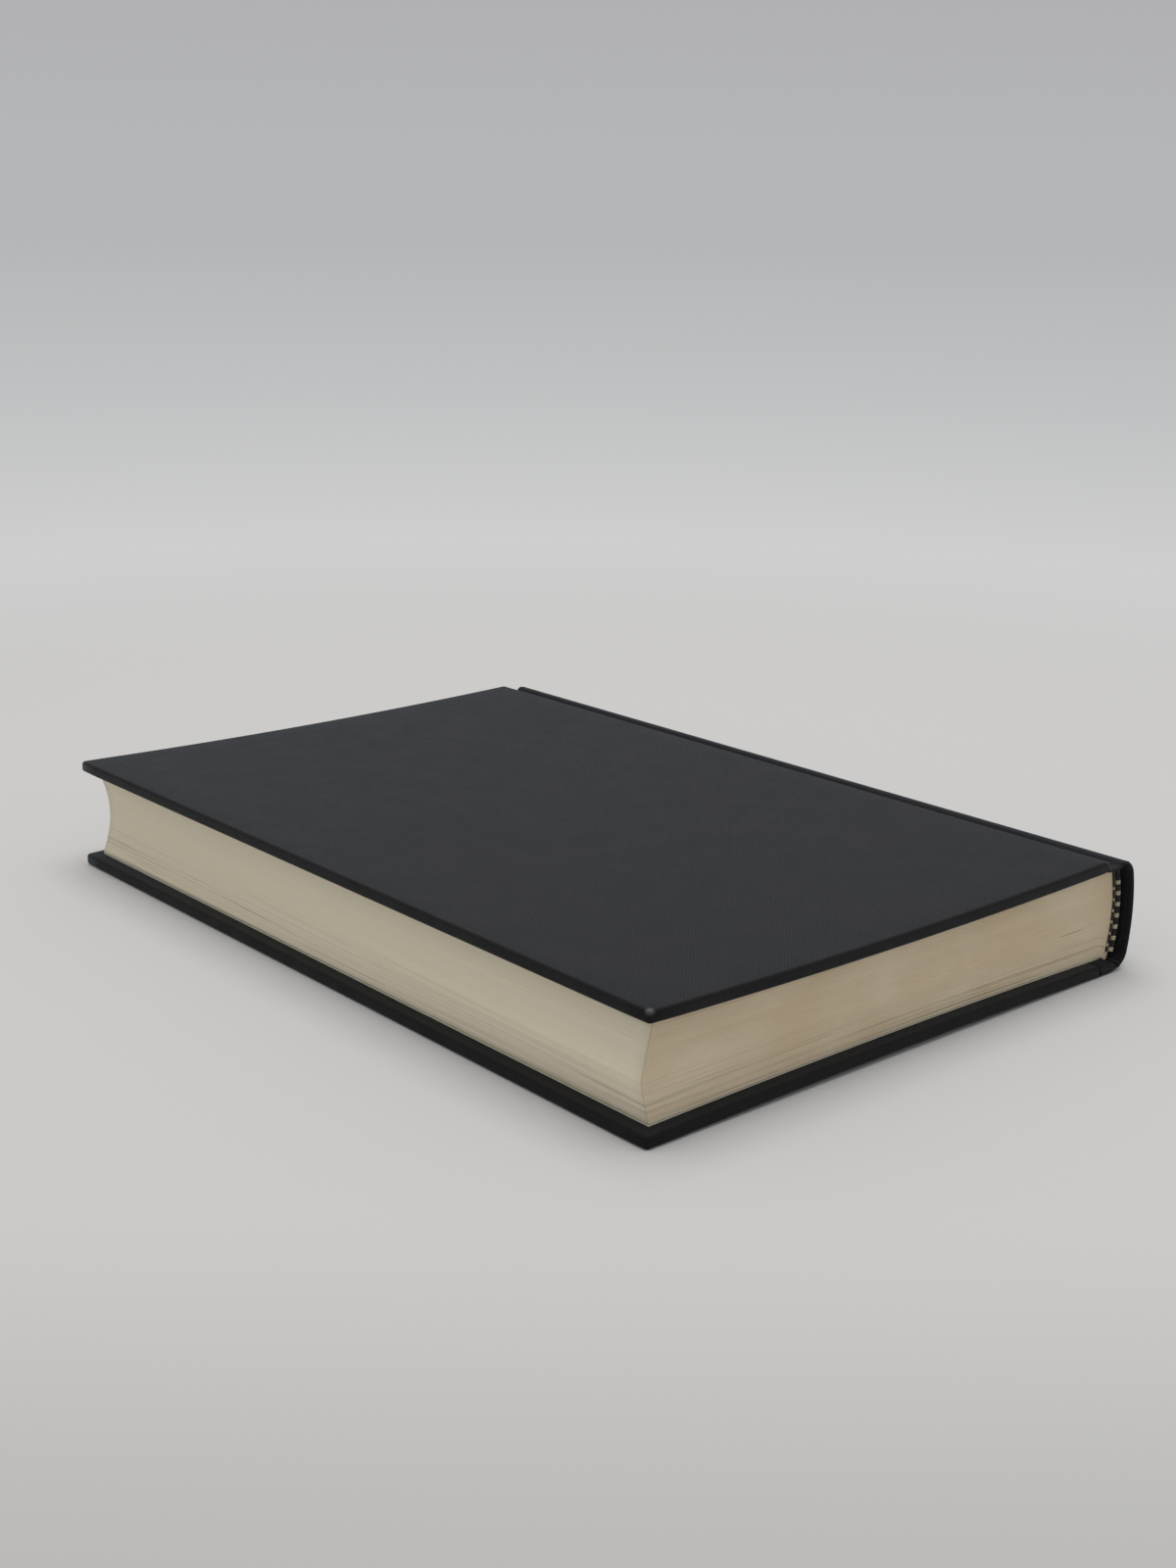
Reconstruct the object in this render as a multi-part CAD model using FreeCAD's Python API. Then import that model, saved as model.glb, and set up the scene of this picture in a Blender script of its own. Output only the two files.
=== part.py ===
import FreeCAD, Part
import math
import os

# Case-bound hardback book, shut, lying on its back cover.
# X runs from the spine to the fore edge, Y from tail to head, Z up from the floor.
# The origin is the middle of the footprint, at the level that the book lies on.

Vector = FreeCAD.Vector

# Case: two boards in cloth, joined by a hollow spine.
COVER_HEIGHT = 242.0          # tail to head, over the cloth
COVER_WIDTH = 155.7           # one cover's rigid part, spine side to fore edge, over the cloth
TOTAL_THICKNESS = 31.0        # over both covers at their fore edges
BOARD_THICKNESS = 2.4         # grey board
CLOTH = 0.35                  # book cloth with its glue
TURN_IN = 15.0                # how far the cloth is folded over onto the inside
CLOTH_EDGE_RADIUS = 0.9       # outside of the cloth round a board's edge
MITRE_GAP = 0.2               # seam where two turn-ins meet at a corner
FRONT_WARP = 1.2              # hollow of the front board across its width
BACK_WARP = 0.9               # hollow of the back board across its width

# Joint: the french groove between a board and the spine's shoulder.
GROOVE_WIDTH = 7.0            # board edge to the crest of the shoulder
CREST_DROP = 1.4              # crest of the shoulder below the top of the board
CREST_RADIUS = 1.5            # shoulder's round on the groove side
FLANK_RADIUS = 1.2            # hollow round at the foot of the shoulder
BOARD_FOOT_RADIUS = 0.8       # hollow round where the cloth climbs the board's edge
FOLD_CLEARANCE = 0.3          # room between pieces that turn against each other

# Spine of the case.
SPINE_DEPTH = 5.5             # crest of the shoulder to the back of the spine
SPINE_SHOULDER_RADIUS = 4.5   # round of the cloth from the crest to the back
INLAY = 0.8                   # card strip that stiffens the spine
INLAY_START_DEG = 25.0        # where the card's edge lies on the shoulder's round, from the crest
INLAY_LAP_DEG = 4.0           # width of the cloth folded over the card's long edge

# Text block: trimmed leaves with rounded back and hollow fore edge.
HEAD_SQUARE = 3.8             # board beyond the leaves at head and tail
FORE_SQUARE = 4.0             # board beyond the leaves at the fore edge
FORE_HOLLOW = 2.6             # depth of the hollow fore edge at the tail
FORE_BULGE = 2.1              # how far the leaves' middle has slipped out past it at the head
BACK_ROUND = 2.7              # crest of the shoulder to the rounded back of the leaves
PAPER = 0.2                   # one endpaper leaf

# Linings on the back of the leaves, and the bands.
MULL = 0.35                   # gauze with its glue
MULL_FLAP = 25.0              # how far the gauze reaches onto a board
KRAFT = 0.2                   # paper lining over the gauze
BAND_RADIUS = 0.9             # bead of the headband
BAND_OVERHANG = 0.55          # bead's centre inside the back of the leaves
BAND_END_GAP = 0.6            # bead's ends below the block's faces
BAND_SIDES = 12               # flats round the bead
LINING_SHORT_DEG = 2.2        # paper and tapes end short of the shoulders by this much of the back's arc
STEP_INSET = 0.25             # slope of the pastedown at the turn-in's edge


def level_down(*layers):
    """Height below the top of a board, at its edge, after these layers."""
    return TOTAL_THICKNESS - sum(layers)


# Levels of the layers, all taken at the edge of the front cover.
BOARD_TOP = level_down(CLOTH)
BOARD_INSIDE = level_down(CLOTH, BOARD_THICKNESS)
TURN_IN_FACE = level_down(CLOTH, BOARD_THICKNESS, CLOTH)
PASTEDOWN_FACE = TURN_IN_FACE - PAPER
FLYLEAF_FACE = PASTEDOWN_FACE - FOLD_CLEARANCE
BLOCK_FACE = FLYLEAF_FACE - PAPER
GROOVE_FLOOR = BOARD_INSIDE + CLOTH
CREST = TOTAL_THICKNESS - CREST_DROP
MIDDLE = TOTAL_THICKNESS / 2

# Places along X.
TOTAL_WIDTH = COVER_WIDTH + GROOVE_WIDTH + SPINE_DEPTH
FORE_EDGE = TOTAL_WIDTH / 2
BOARD_SIDE = FORE_EDGE - COVER_WIDTH
CREST_X = BOARD_SIDE - GROOVE_WIDTH
LEAF_EDGE = FORE_EDGE - FORE_SQUARE

# Half lengths along Y.
HALF_COVER = COVER_HEIGHT / 2
HALF_BOARD = HALF_COVER - CLOTH
HALF_BLOCK = HALF_COVER - HEAD_SQUARE
HALF_WINDOW = HALF_COVER - TURN_IN

# Shoulder: a round on the groove side that runs into a hollow round at its foot.
CREST_CENTRE_Z = CREST - CREST_RADIUS
FLANK_ANGLE = math.acos(1 - (CREST - GROOVE_FLOOR) / (CREST_RADIUS + FLANK_RADIUS))
FLANK_FOOT_X = CREST_X + (CREST_RADIUS + FLANK_RADIUS) * math.sin(FLANK_ANGLE)
STRIP_START = FLANK_FOOT_X + FOLD_CLEARANCE / 2
FLANK_END = FLANK_FOOT_X - FOLD_CLEARANCE / 2

# Back of the case: one long arc that touches the two shoulder rounds.
SHOULDER_CENTRE_Z = CREST - SPINE_SHOULDER_RADIUS
SHOULDER_RISE = SHOULDER_CENTRE_Z - MIDDLE
SPINE_RADIUS = (
    (SHOULDER_RISE ** 2 + SPINE_DEPTH ** 2 - SPINE_SHOULDER_RADIUS ** 2)
    / (2 * (SPINE_DEPTH - SPINE_SHOULDER_RADIUS))
)
SPINE_CENTRE_X = CREST_X - SPINE_DEPTH + SPINE_RADIUS
SPINE_HALF_ANGLE = math.asin(SHOULDER_RISE / (SPINE_RADIUS - SPINE_SHOULDER_RADIUS))

# Back of the leaves: the same kind of arc, between the tips of the backed shoulders.
TIP_RADIUS = CREST_RADIUS - CLOTH - MULL
TIP_RISE = CREST_CENTRE_Z - MIDDLE
BACK_RADIUS = (
    (TIP_RISE ** 2 + BACK_ROUND ** 2 - TIP_RADIUS ** 2) / (2 * (BACK_ROUND - TIP_RADIUS))
)
BACK_CENTRE_X = CREST_X - BACK_ROUND + BACK_RADIUS
BACK_HALF_ANGLE = math.asin(TIP_RISE / (BACK_RADIUS - TIP_RADIUS))
BLOCK_FLANK_RADIUS = (CREST_CENTRE_Z + TIP_RADIUS - BLOCK_FACE) / (1 - math.cos(FLANK_ANGLE)) - TIP_RADIUS
BLOCK_FLANK_X = CREST_X + (TIP_RADIUS + BLOCK_FLANK_RADIUS) * math.sin(FLANK_ANGLE)


class Side:
    """One cover's side of the book: the front is up, the back is its mirror image."""

    def __init__(self, name, facing, warp):
        self.name = name
        self.facing = facing
        self.radius = ((COVER_WIDTH / 2) ** 2 + warp ** 2) / (2 * warp)
        self.warp = warp

    def height(self, level):
        """Turn a level of the front cover into this side's height, at a board's edge."""
        return MIDDLE + self.facing * (level - MIDDLE)

    def hollow(self, x):
        """How far the warped board lies nearer the leaves at x than at its edges."""
        if x <= BOARD_SIDE:
            return 0.0
        from_middle = x - (BOARD_SIDE + FORE_EDGE) / 2
        return math.sqrt(self.radius ** 2 - from_middle ** 2) - (self.radius - self.warp)

    def point(self, x, level):
        return Vector(x, 0, self.height(level) - self.facing * self.hollow(x))

    def path(self, x0, x1, level):
        """Edges that follow the cover from x0 to x1: straight in the joint, an arc over the board."""
        if x1 < x0:
            return [turned(edge) for edge in reversed(self.path(x1, x0, level))]
        edges = []
        if x0 < BOARD_SIDE:
            knee = min(x1, BOARD_SIDE)
            edges.append(Part.LineSegment(self.point(x0, level), self.point(knee, level)).toShape())
            x0 = knee
        if x1 > x0:
            middle = self.point((x0 + x1) / 2, level)
            edges.append(Part.Arc(self.point(x0, level), middle, self.point(x1, level)).toShape())
        return edges

    def layer(self, x0, x1, level0, level1, half_length):
        """A sheet that lies along the cover between two levels."""
        outline = face_between(self.path(x0, x1, level0), self.path(x0, x1, level1))
        return extruded(outline, -half_length, half_length)

    def mirrored(self, shape):
        """Turn a shape made for the front side into this side's."""
        if self.facing > 0:
            return shape
        return shape.mirror(Vector(0, 0, MIDDLE), Vector(0, 0, 1))


def ends(edge):
    """First and last point of an edge, in its own direction."""
    points = [vertex.Point for vertex in edge.Vertexes]
    if edge.Orientation == "Reversed":
        points.reverse()
    return points[0], points[-1]


def turned(edge):
    """The same edge, run the other way."""
    first, last = ends(edge)
    if isinstance(edge.Curve, Part.Line):
        return Part.LineSegment(last, first).toShape()
    middle = edge.valueAt((edge.FirstParameter + edge.LastParameter) / 2)
    return Part.Arc(last, middle, first).toShape()


def line(start, end):
    return Part.LineSegment(start, end).toShape()


def arc(x, z, radius, start_deg, end_deg):
    """Arc about (x, z) in the plane y = 0, with angles from +X towards +Z."""
    points = []
    for angle in (start_deg, (start_deg + end_deg) / 2, end_deg):
        turn = math.radians(angle)
        points.append(Vector(x + radius * math.cos(turn), 0, z + radius * math.sin(turn)))
    return Part.Arc(*points).toShape()


def upside_down(edges):
    """The mirror image of a run of edges, taken in the opposite order."""
    flipped = []
    for edge in reversed(edges):
        first, last = ends(edge)
        first = Vector(first.x, 0, 2 * MIDDLE - first.z)
        last = Vector(last.x, 0, 2 * MIDDLE - last.z)
        middle = edge.valueAt((edge.FirstParameter + edge.LastParameter) / 2)
        middle = Vector(middle.x, 0, 2 * MIDDLE - middle.z)
        flipped.append(Part.Arc(last, middle, first).toShape())
    return flipped


def closed_face(edges):
    return Part.Face(Part.Wire(edges))


def face_between(outer, inner):
    """Face between two runs of edges that go the same way."""
    back = [turned(edge) for edge in reversed(inner)]
    rungs = [line(ends(outer[-1])[1], ends(back[0])[0]), line(ends(back[-1])[1], ends(outer[0])[0])]
    return closed_face(outer + rungs[:1] + back + rungs[1:])


def extruded(face, y0, y1):
    return face.translated(Vector(0, y0, 0)).extrude(Vector(0, y1 - y0, 0))


def slab(x0, x1, y0, y1, z0, z1):
    return Part.makeBox(x1 - x0, y1 - y0, z1 - z0, Vector(x0, y0, z0))


def both_ends(shape):
    """The shape and its mirror image at the tail."""
    return shape.fuse(shape.mirror(Vector(0, 0, 0), Vector(0, 1, 0)))


# Outline of the case's spine, at a depth under the outside of the cloth.

def flank(depth):
    """Front shoulder's groove side, from its foot up to the crest."""
    start = -90 - math.degrees(math.asin((FLANK_FOOT_X - FLANK_END) / FLANK_RADIUS))
    tilt = 90 - math.degrees(FLANK_ANGLE)
    hollow = arc(FLANK_FOOT_X, GROOVE_FLOOR + FLANK_RADIUS, FLANK_RADIUS + depth, start, tilt - 180)
    return [hollow, arc(CREST_X, CREST_CENTRE_Z, CREST_RADIUS - depth, tilt, 90)]


def shoulder(depth, start_deg, end_deg):
    """Front shoulder's round; its angles are counted from the crest towards the back."""
    radius = SPINE_SHOULDER_RADIUS - depth
    return [arc(CREST_X, SHOULDER_CENTRE_Z, radius, 90 + start_deg, 90 + end_deg)]


def spine_back(depth):
    tilt = math.degrees(SPINE_HALF_ANGLE)
    return [arc(SPINE_CENTRE_X, MIDDLE, SPINE_RADIUS - depth, 180 - tilt, 180 + tilt)]


SHOULDER_END_DEG = 90 - math.degrees(SPINE_HALF_ANGLE)


def spine_outline(depth, start_deg):
    """From one shoulder round the back to the other, beginning at an angle from the crest."""
    half = shoulder(depth, start_deg, SHOULDER_END_DEG)
    return half + spine_back(depth) + upside_down(half)


def flank_and_crest(depth, end_deg):
    return flank(depth) + shoulder(depth, 0, end_deg)


def block_outline(offset, with_flanks):
    """Back of the leaves, at an offset outwards, from the front shoulder to the back one."""
    tilt = 90 - math.degrees(FLANK_ANGLE)
    back_tilt = math.degrees(BACK_HALF_ANGLE)
    tip_start = tilt if with_flanks else 90
    half = [arc(CREST_X, CREST_CENTRE_Z, TIP_RADIUS + offset, tip_start, 180 - back_tilt)]
    back = [arc(BACK_CENTRE_X, MIDDLE, BACK_RADIUS + offset, 180 - back_tilt, 180 + back_tilt)]
    return half + back + upside_down(half)


def block_flank():
    """Groove side of the front shoulder of the leaves, from the face of the block up."""
    tilt = 90 - math.degrees(FLANK_ANGLE)
    return [arc(BLOCK_FLANK_X, BLOCK_FACE + BLOCK_FLANK_RADIUS, BLOCK_FLANK_RADIUS, -90, tilt - 180)]


FRONT = Side("front", 1, FRONT_WARP)
BACK = Side("back", -1, BACK_WARP)


def text_block():
    """Leaves as one solid, with a rounded back and shoulders bent over at both joints.

    The leaves have slipped askew: their fore edge is hollow at the tail and bulges at the head.
    """
    spine = block_flank() + block_outline(0, True) + upside_down(block_flank())
    back_face = BACK.path(BLOCK_FLANK_X, LEAF_EDGE, BLOCK_FACE)
    front_face = FRONT.path(LEAF_EDGE, BLOCK_FLANK_X, BLOCK_FACE)
    low = ends(back_face[-1])[1]
    high = ends(front_face[0])[0]
    sections = []
    for end, depth in ((-HALF_BLOCK, FORE_HOLLOW), (HALF_BLOCK, -FORE_BULGE)):
        fore_edge = Part.Arc(low, Vector(LEAF_EDGE - depth, 0, MIDDLE), high).toShape()
        outline = Part.Wire(spine + back_face + [fore_edge] + front_face)
        sections.append(outline.translated(Vector(0, end, 0)))
    return Part.makeLoft(sections, True, True)


def flyleaf(side):
    """Free half of an endpaper, lying on the block from the joint to the fore edge."""
    return side.layer(BLOCK_FLANK_X, LEAF_EDGE, BLOCK_FACE, FLYLEAF_FACE, HALF_BLOCK)


def upright(edge):
    first, last = ends(edge)
    return abs(first.z - last.z) > CLOTH and abs(first.x - last.x) < CLOTH


def rounded_plate(side, x0, x1, level0, level1, half_length, radius):
    """Warped plate with the edges round its two faces rounded, and square corners in plan."""
    plate = side.layer(x0, x1, level0, level1, half_length)
    return plate.makeFillet(radius, [edge for edge in plate.Edges if not upright(edge)])


def board(side):
    """Grey board, its edges softened so that the cloth lies round them evenly."""
    x0 = BOARD_SIDE + CLOTH
    x1 = FORE_EDGE - CLOTH
    return rounded_plate(side, x0, x1, BOARD_INSIDE, BOARD_TOP, HALF_BOARD, CLOTH_EDGE_RADIUS - CLOTH)


def corner_mitres(side):
    """Slots that part the turn-ins at the two fore-edge corners, where they meet at 45 degrees."""
    reach = math.hypot(TURN_IN, TURN_IN) + MITRE_GAP
    cutter = slab(0, reach, -MITRE_GAP / 2, MITRE_GAP / 2, -TOTAL_THICKNESS, 2 * TOTAL_THICKNESS)
    cutter.rotate(Vector(0, 0, 0), Vector(0, 0, 1), 225)
    cutter.translate(Vector(FORE_EDGE, HALF_COVER, 0))
    turn_in = side.layer(
        FORE_EDGE - TURN_IN - CLOTH, FORE_EDGE - CLOTH_EDGE_RADIUS,
        TURN_IN_FACE - CLOTH, BOARD_INSIDE, HALF_COVER - CLOTH_EDGE_RADIUS
    )
    return both_ends(cutter.common(turn_in))


def cover_cloth(side):
    """Cloth on one cover: outside, round the edges, turned in at three sides, and across the joint."""
    envelope = rounded_plate(
        side, BOARD_SIDE, FORE_EDGE, TURN_IN_FACE, TOTAL_THICKNESS, HALF_COVER, CLOTH_EDGE_RADIUS
    )
    inside_board = BOARD_SIDE + CLOTH_EDGE_RADIUS
    climb = GROOVE_FLOOR + BOARD_FOOT_RADIUS
    corner = Vector(BOARD_SIDE - BOARD_FOOT_RADIUS, 0, GROOVE_FLOOR)
    strip = [
        line(Vector(STRIP_START, 0, TURN_IN_FACE), Vector(STRIP_START, 0, GROOVE_FLOOR)),
        line(Vector(STRIP_START, 0, GROOVE_FLOOR), corner),
        arc(corner.x, climb, BOARD_FOOT_RADIUS, -90, 0),
        line(Vector(BOARD_SIDE, 0, climb), Vector(inside_board, 0, climb)),
        line(Vector(inside_board, 0, climb), Vector(inside_board, 0, TURN_IN_FACE)),
        line(Vector(inside_board, 0, TURN_IN_FACE), Vector(STRIP_START, 0, TURN_IN_FACE)),
    ]
    joint = side.mirrored(extruded(closed_face(strip), -HALF_COVER, HALF_COVER))
    window = side.layer(
        STRIP_START - CLOTH, FORE_EDGE - TURN_IN, TURN_IN_FACE - CLOTH, BOARD_INSIDE, HALF_WINDOW
    )
    cloth = envelope.fuse(joint).cut(board(side)).cut(window)
    return cloth.cut(corner_mitres(side)).removeSplitter()


def mull_flap(side):
    """Gauze that reaches from the joint onto the inside of the board."""
    return side.layer(STRIP_START, BOARD_SIDE + MULL_FLAP, TURN_IN_FACE, BOARD_INSIDE, HALF_WINDOW)


def pastedown(side):
    """Pasted half of an endpaper. It steps down into the window that the turn-ins leave."""
    window_start = BOARD_SIDE + MULL_FLAP
    window_end = FORE_EDGE - TURN_IN
    sheet = side.layer(STRIP_START, LEAF_EDGE, PASTEDOWN_FACE, TURN_IN_FACE, HALF_BLOCK)
    step = side.layer(window_start, window_end, PASTEDOWN_FACE, BOARD_INSIDE, HALF_WINDOW)
    recess = side.layer(
        window_start + STEP_INSET, window_end - STEP_INSET,
        PASTEDOWN_FACE - PAPER, BOARD_INSIDE - PAPER, HALF_WINDOW - STEP_INSET
    )
    return sheet.fuse(step).cut(recess).removeSplitter()


def inlay_face():
    return face_between(
        spine_outline(CLOTH, INLAY_START_DEG), spine_outline(CLOTH + INLAY, INLAY_START_DEG)
    )


def spine_inlay():
    """Card strip between the shoulders, as long as the boards."""
    return extruded(inlay_face(), -HALF_BOARD, HALF_BOARD)


def spine_cloth():
    """Cloth round the spine and over both shoulders, folded in over the card at head and tail."""
    lap_start = INLAY_START_DEG - INLAY_LAP_DEG
    inner = CLOTH + INLAY + CLOTH
    over_shoulders = flank_and_crest(0, SHOULDER_END_DEG)
    under_shoulders = flank_and_crest(CLOTH, SHOULDER_END_DEG)
    outside = over_shoulders + spine_back(0) + upside_down(over_shoulders)
    inside = under_shoulders + spine_back(CLOTH) + upside_down(under_shoulders)
    skin = extruded(face_between(outside, inside), -HALF_COVER, HALF_COVER)

    round_card = face_between(spine_outline(0, lap_start), spine_outline(inner, lap_start))
    folded = extruded(round_card, HALF_WINDOW, HALF_COVER).cut(spine_inlay())
    shoulder_fold = face_between(flank_and_crest(CLOTH, lap_start), flank_and_crest(2 * CLOTH, lap_start))
    fold = extruded(shoulder_fold, HALF_WINDOW, HALF_COVER)
    for piece in (folded, fold, BACK.mirrored(fold)):
        skin = skin.fuse(both_ends(piece))
    return skin.removeSplitter()


def spine_mull():
    """Gauze glued to the back of the leaves and over the shoulders."""
    outline = face_between(block_outline(0, True), block_outline(MULL, True))
    return extruded(outline, -HALF_WINDOW, HALF_WINDOW)


def back_strip(offset, thickness):
    """Sheet that covers only the long arc of the back of the leaves, short of the shoulders."""
    tilt = math.degrees(BACK_HALF_ANGLE) - LINING_SHORT_DEG
    layers = []
    for depth in (offset, offset + thickness):
        layers.append([arc(BACK_CENTRE_X, MIDDLE, BACK_RADIUS + depth, 180 - tilt, 180 + tilt)])
    return face_between(*layers)


def spine_lining():
    """Kraft paper over the gauze and the bands' tapes."""
    return extruded(back_strip(MULL, KRAFT), -HALF_BLOCK, HALF_BLOCK)


def headband():
    """Woven band: a tape glued to the back of the leaves and a bead that lies along their head."""
    tape = extruded(back_strip(0, MULL), HALF_WINDOW, HALF_BLOCK)
    half_span = BLOCK_FACE - MIDDLE - BAND_END_GAP
    bead_path_radius = BACK_RADIUS - BAND_OVERHANG
    sweep = math.degrees(math.asin(half_span / bead_path_radius))
    rim = []
    for side_number in range(BAND_SIDES + 1):
        turn = 2 * math.pi * (side_number + 0.5) / BAND_SIDES
        across = BACK_CENTRE_X - bead_path_radius + BAND_RADIUS * math.cos(turn)
        rim.append(Vector(across, HALF_BLOCK + BAND_RADIUS * (1 + math.sin(turn)), MIDDLE))
    axis_point = Vector(BACK_CENTRE_X, 0, MIDDLE)
    disc = Part.Face(Part.makePolygon(rim)).rotated(axis_point, Vector(0, 1, 0), -sweep)
    bead = disc.revolve(axis_point, Vector(0, 1, 0), 2 * sweep)
    lip = extruded(back_strip(0, MULL), HALF_BLOCK, HALF_BLOCK + BAND_RADIUS)
    span = slab(
        CREST_X - SPINE_DEPTH, CREST_X + SPINE_DEPTH, 0, HALF_COVER,
        MIDDLE - half_span, MIDDLE + half_span
    )
    return tape.fuse(bead).fuse(lip.common(span)).removeSplitter()


def tailband():
    return headband().mirror(Vector(0, 0, 0), Vector(0, 1, 0))


pieces = {
    "text_block": text_block(),
    "spine_mull": spine_mull(),
    "spine_lining": spine_lining(),
    "headband": headband(),
    "tailband": tailband(),
    "spine_inlay": spine_inlay(),
    "spine_cloth": spine_cloth(),
}
for side in (FRONT, BACK):
    pieces[side.name + "_flyleaf"] = flyleaf(side)
    pieces[side.name + "_pastedown"] = pastedown(side)
    pieces[side.name + "_mull_flap"] = mull_flap(side)
    pieces[side.name + "_board"] = board(side)
    pieces[side.name + "_cover_cloth"] = cover_cloth(side)

os.makedirs("parts", exist_ok=True)
for name, shape in pieces.items():
    shape.exportStep("parts/" + name + ".step")
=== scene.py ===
import math

import bmesh
import bpy
import numpy as np
from mathutils import Matrix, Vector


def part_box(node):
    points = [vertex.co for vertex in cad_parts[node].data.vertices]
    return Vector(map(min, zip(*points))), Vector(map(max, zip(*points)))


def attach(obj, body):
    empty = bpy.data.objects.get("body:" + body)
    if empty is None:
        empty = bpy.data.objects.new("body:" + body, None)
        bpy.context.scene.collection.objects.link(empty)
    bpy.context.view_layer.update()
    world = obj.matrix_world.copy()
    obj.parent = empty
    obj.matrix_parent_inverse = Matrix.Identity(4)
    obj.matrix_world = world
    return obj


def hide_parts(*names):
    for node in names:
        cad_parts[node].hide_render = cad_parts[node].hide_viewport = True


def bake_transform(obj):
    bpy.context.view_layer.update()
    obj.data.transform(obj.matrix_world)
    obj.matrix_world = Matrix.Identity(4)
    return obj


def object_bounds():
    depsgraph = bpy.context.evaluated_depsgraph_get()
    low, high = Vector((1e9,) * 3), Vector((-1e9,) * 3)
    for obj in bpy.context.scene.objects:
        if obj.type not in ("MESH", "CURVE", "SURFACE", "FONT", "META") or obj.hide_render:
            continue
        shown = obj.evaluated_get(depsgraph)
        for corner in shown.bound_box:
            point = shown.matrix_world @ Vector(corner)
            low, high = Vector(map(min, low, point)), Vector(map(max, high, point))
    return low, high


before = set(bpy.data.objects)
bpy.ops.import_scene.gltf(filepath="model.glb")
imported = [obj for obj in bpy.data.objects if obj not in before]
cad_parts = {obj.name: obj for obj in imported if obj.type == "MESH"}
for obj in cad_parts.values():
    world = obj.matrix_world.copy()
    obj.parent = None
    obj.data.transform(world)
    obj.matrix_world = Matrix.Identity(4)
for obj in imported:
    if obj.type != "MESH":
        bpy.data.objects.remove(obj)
cad_low, cad_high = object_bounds()

# Leaves.
# Sewn sections of uncoated cream paper, glued at the back, trimmed on three sides, then rounded, and
# hammered over at both sides into shoulders for the boards. They have slipped askew since: the fore edge
# is hollow at the tail and bulges at the head. Lengths are millimetres until a mesh or texture is made.

MM = 0.001
CLOTH = 0.35
BOARD = 2.4
PAPER = 0.2
FOLD_GAP = 0.3
THICKNESS = 31.0
COVER_WIDTH = 155.7
GROOVE_WIDTH = 7.0
CREST_DROP = 1.4
CREST_RADIUS = 1.5
FLANK_RADIUS = 1.2
WARP = {"front": 1.2, "back": 0.9}
BACK_ROUND = 2.7
FORE_HOLLOW = 2.6
FORE_BULGE = 2.1
RIDGE_LEAF = 0.415
RIDGE_SLOPE = 5.8
RIDGE_ROUND = 0.4
TIP_RADIUS = 0.8

LEAF_ROWS = 120
SHOULDER_COLUMNS = 12
FACE_COLUMNS = 36
LENGTH_CELLS = 44
EDGE_RELIEF = 0.03
RELIEF_REACH = 9
RELIEF_SEED = 7

FORE_EDGE = cad_high.x / MM
HALF_COVER = cad_high.y / MM
MIDDLE = THICKNESS / 2
BOARD_SIDE = FORE_EDGE - COVER_WIDTH
CREST_X = BOARD_SIDE - GROOVE_WIDTH
CREST = THICKNESS - CREST_DROP
CREST_Z = CREST - CREST_RADIUS
TURN_IN_FACE = THICKNESS - CLOTH - BOARD - CLOTH
GROOVE_FLOOR = TURN_IN_FACE + 2 * CLOTH
BLOCK_FACE = TURN_IN_FACE - PAPER - FOLD_GAP - PAPER
LEAF_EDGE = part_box("front_flyleaf")[1].x / MM
HALF_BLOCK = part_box("text_block")[1].y / MM
FLANK_TILT = 90 - math.degrees(math.acos(1 - (CREST - GROOVE_FLOOR) / (CREST_RADIUS + FLANK_RADIUS)))

TIP_RISE = CREST_Z - MIDDLE
BACK_RADIUS = (TIP_RISE ** 2 + BACK_ROUND ** 2 - TIP_RADIUS ** 2) / (2 * (BACK_ROUND - TIP_RADIUS))
BACK_X = CREST_X - BACK_ROUND + BACK_RADIUS
BACK_TILT = math.degrees(math.asin(TIP_RISE / (BACK_RADIUS - TIP_RADIUS)))
SHOULDER_DIP = 1 - math.sin(math.radians(FLANK_TILT))
SHOULDER_RADIUS = (CREST_Z + TIP_RADIUS - BLOCK_FACE) / SHOULDER_DIP - TIP_RADIUS
SHOULDER_X = CREST_X + (TIP_RADIUS + SHOULDER_RADIUS) * math.cos(math.radians(FLANK_TILT))


def hollow(side, x):
    """How far a warped board lies nearer the leaves at x than at its edges."""
    if x <= BOARD_SIDE:
        return 0.0
    half = COVER_WIDTH / 2
    radius = (half ** 2 + WARP[side] ** 2) / (2 * WARP[side])
    return math.sqrt(radius ** 2 - (x - BOARD_SIDE - half) ** 2) - (radius - WARP[side])


def height(side, x, level):
    """Height over x of a layer, whose level counts from the floor when it belongs to the front cover."""
    lowered = level - hollow(side, x)
    return lowered if side == "front" else THICKNESS - lowered


def bend(x, z, radius, start, end):
    """Arc about (x, z), by the angle of its outward normal in degrees; a hollow has a negative radius."""
    def at(share):
        angle = math.radians(start + (end - start) * share)
        return x + radius * math.cos(angle), z + radius * math.sin(angle), math.cos(angle), math.sin(angle)
    return abs(radius * math.radians(end - start)), at


def straight(x0, z0, x1, z1):
    """Straight stretch, with its outward normal on the right hand of its direction."""
    length = math.hypot(x1 - x0, z1 - z0)
    normal = (z1 - z0) / length, (x0 - x1) / length

    def at(share):
        return x0 + (x1 - x0) * share, z0 + (z1 - z0) * share, *normal
    return length, at


def upside_down(run):
    """Mirror image of a run about the middle of the book's thickness, taken in the opposite order."""
    def flip(at):
        def flipped(share):
            x, z, nx, nz = at(1 - share)
            return x, 2 * MIDDLE - z, nx, -nz
        return flipped
    return [(length, flip(at)) for length, at in reversed(run)]


def walk(run, share):
    """Point and outward normal at a share of the whole length of a run."""
    left = share * sum(length for length, at in run)
    for length, at in run:
        if left <= length:
            return at(left / length)
        left -= length
    return run[-1][1](1)


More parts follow.
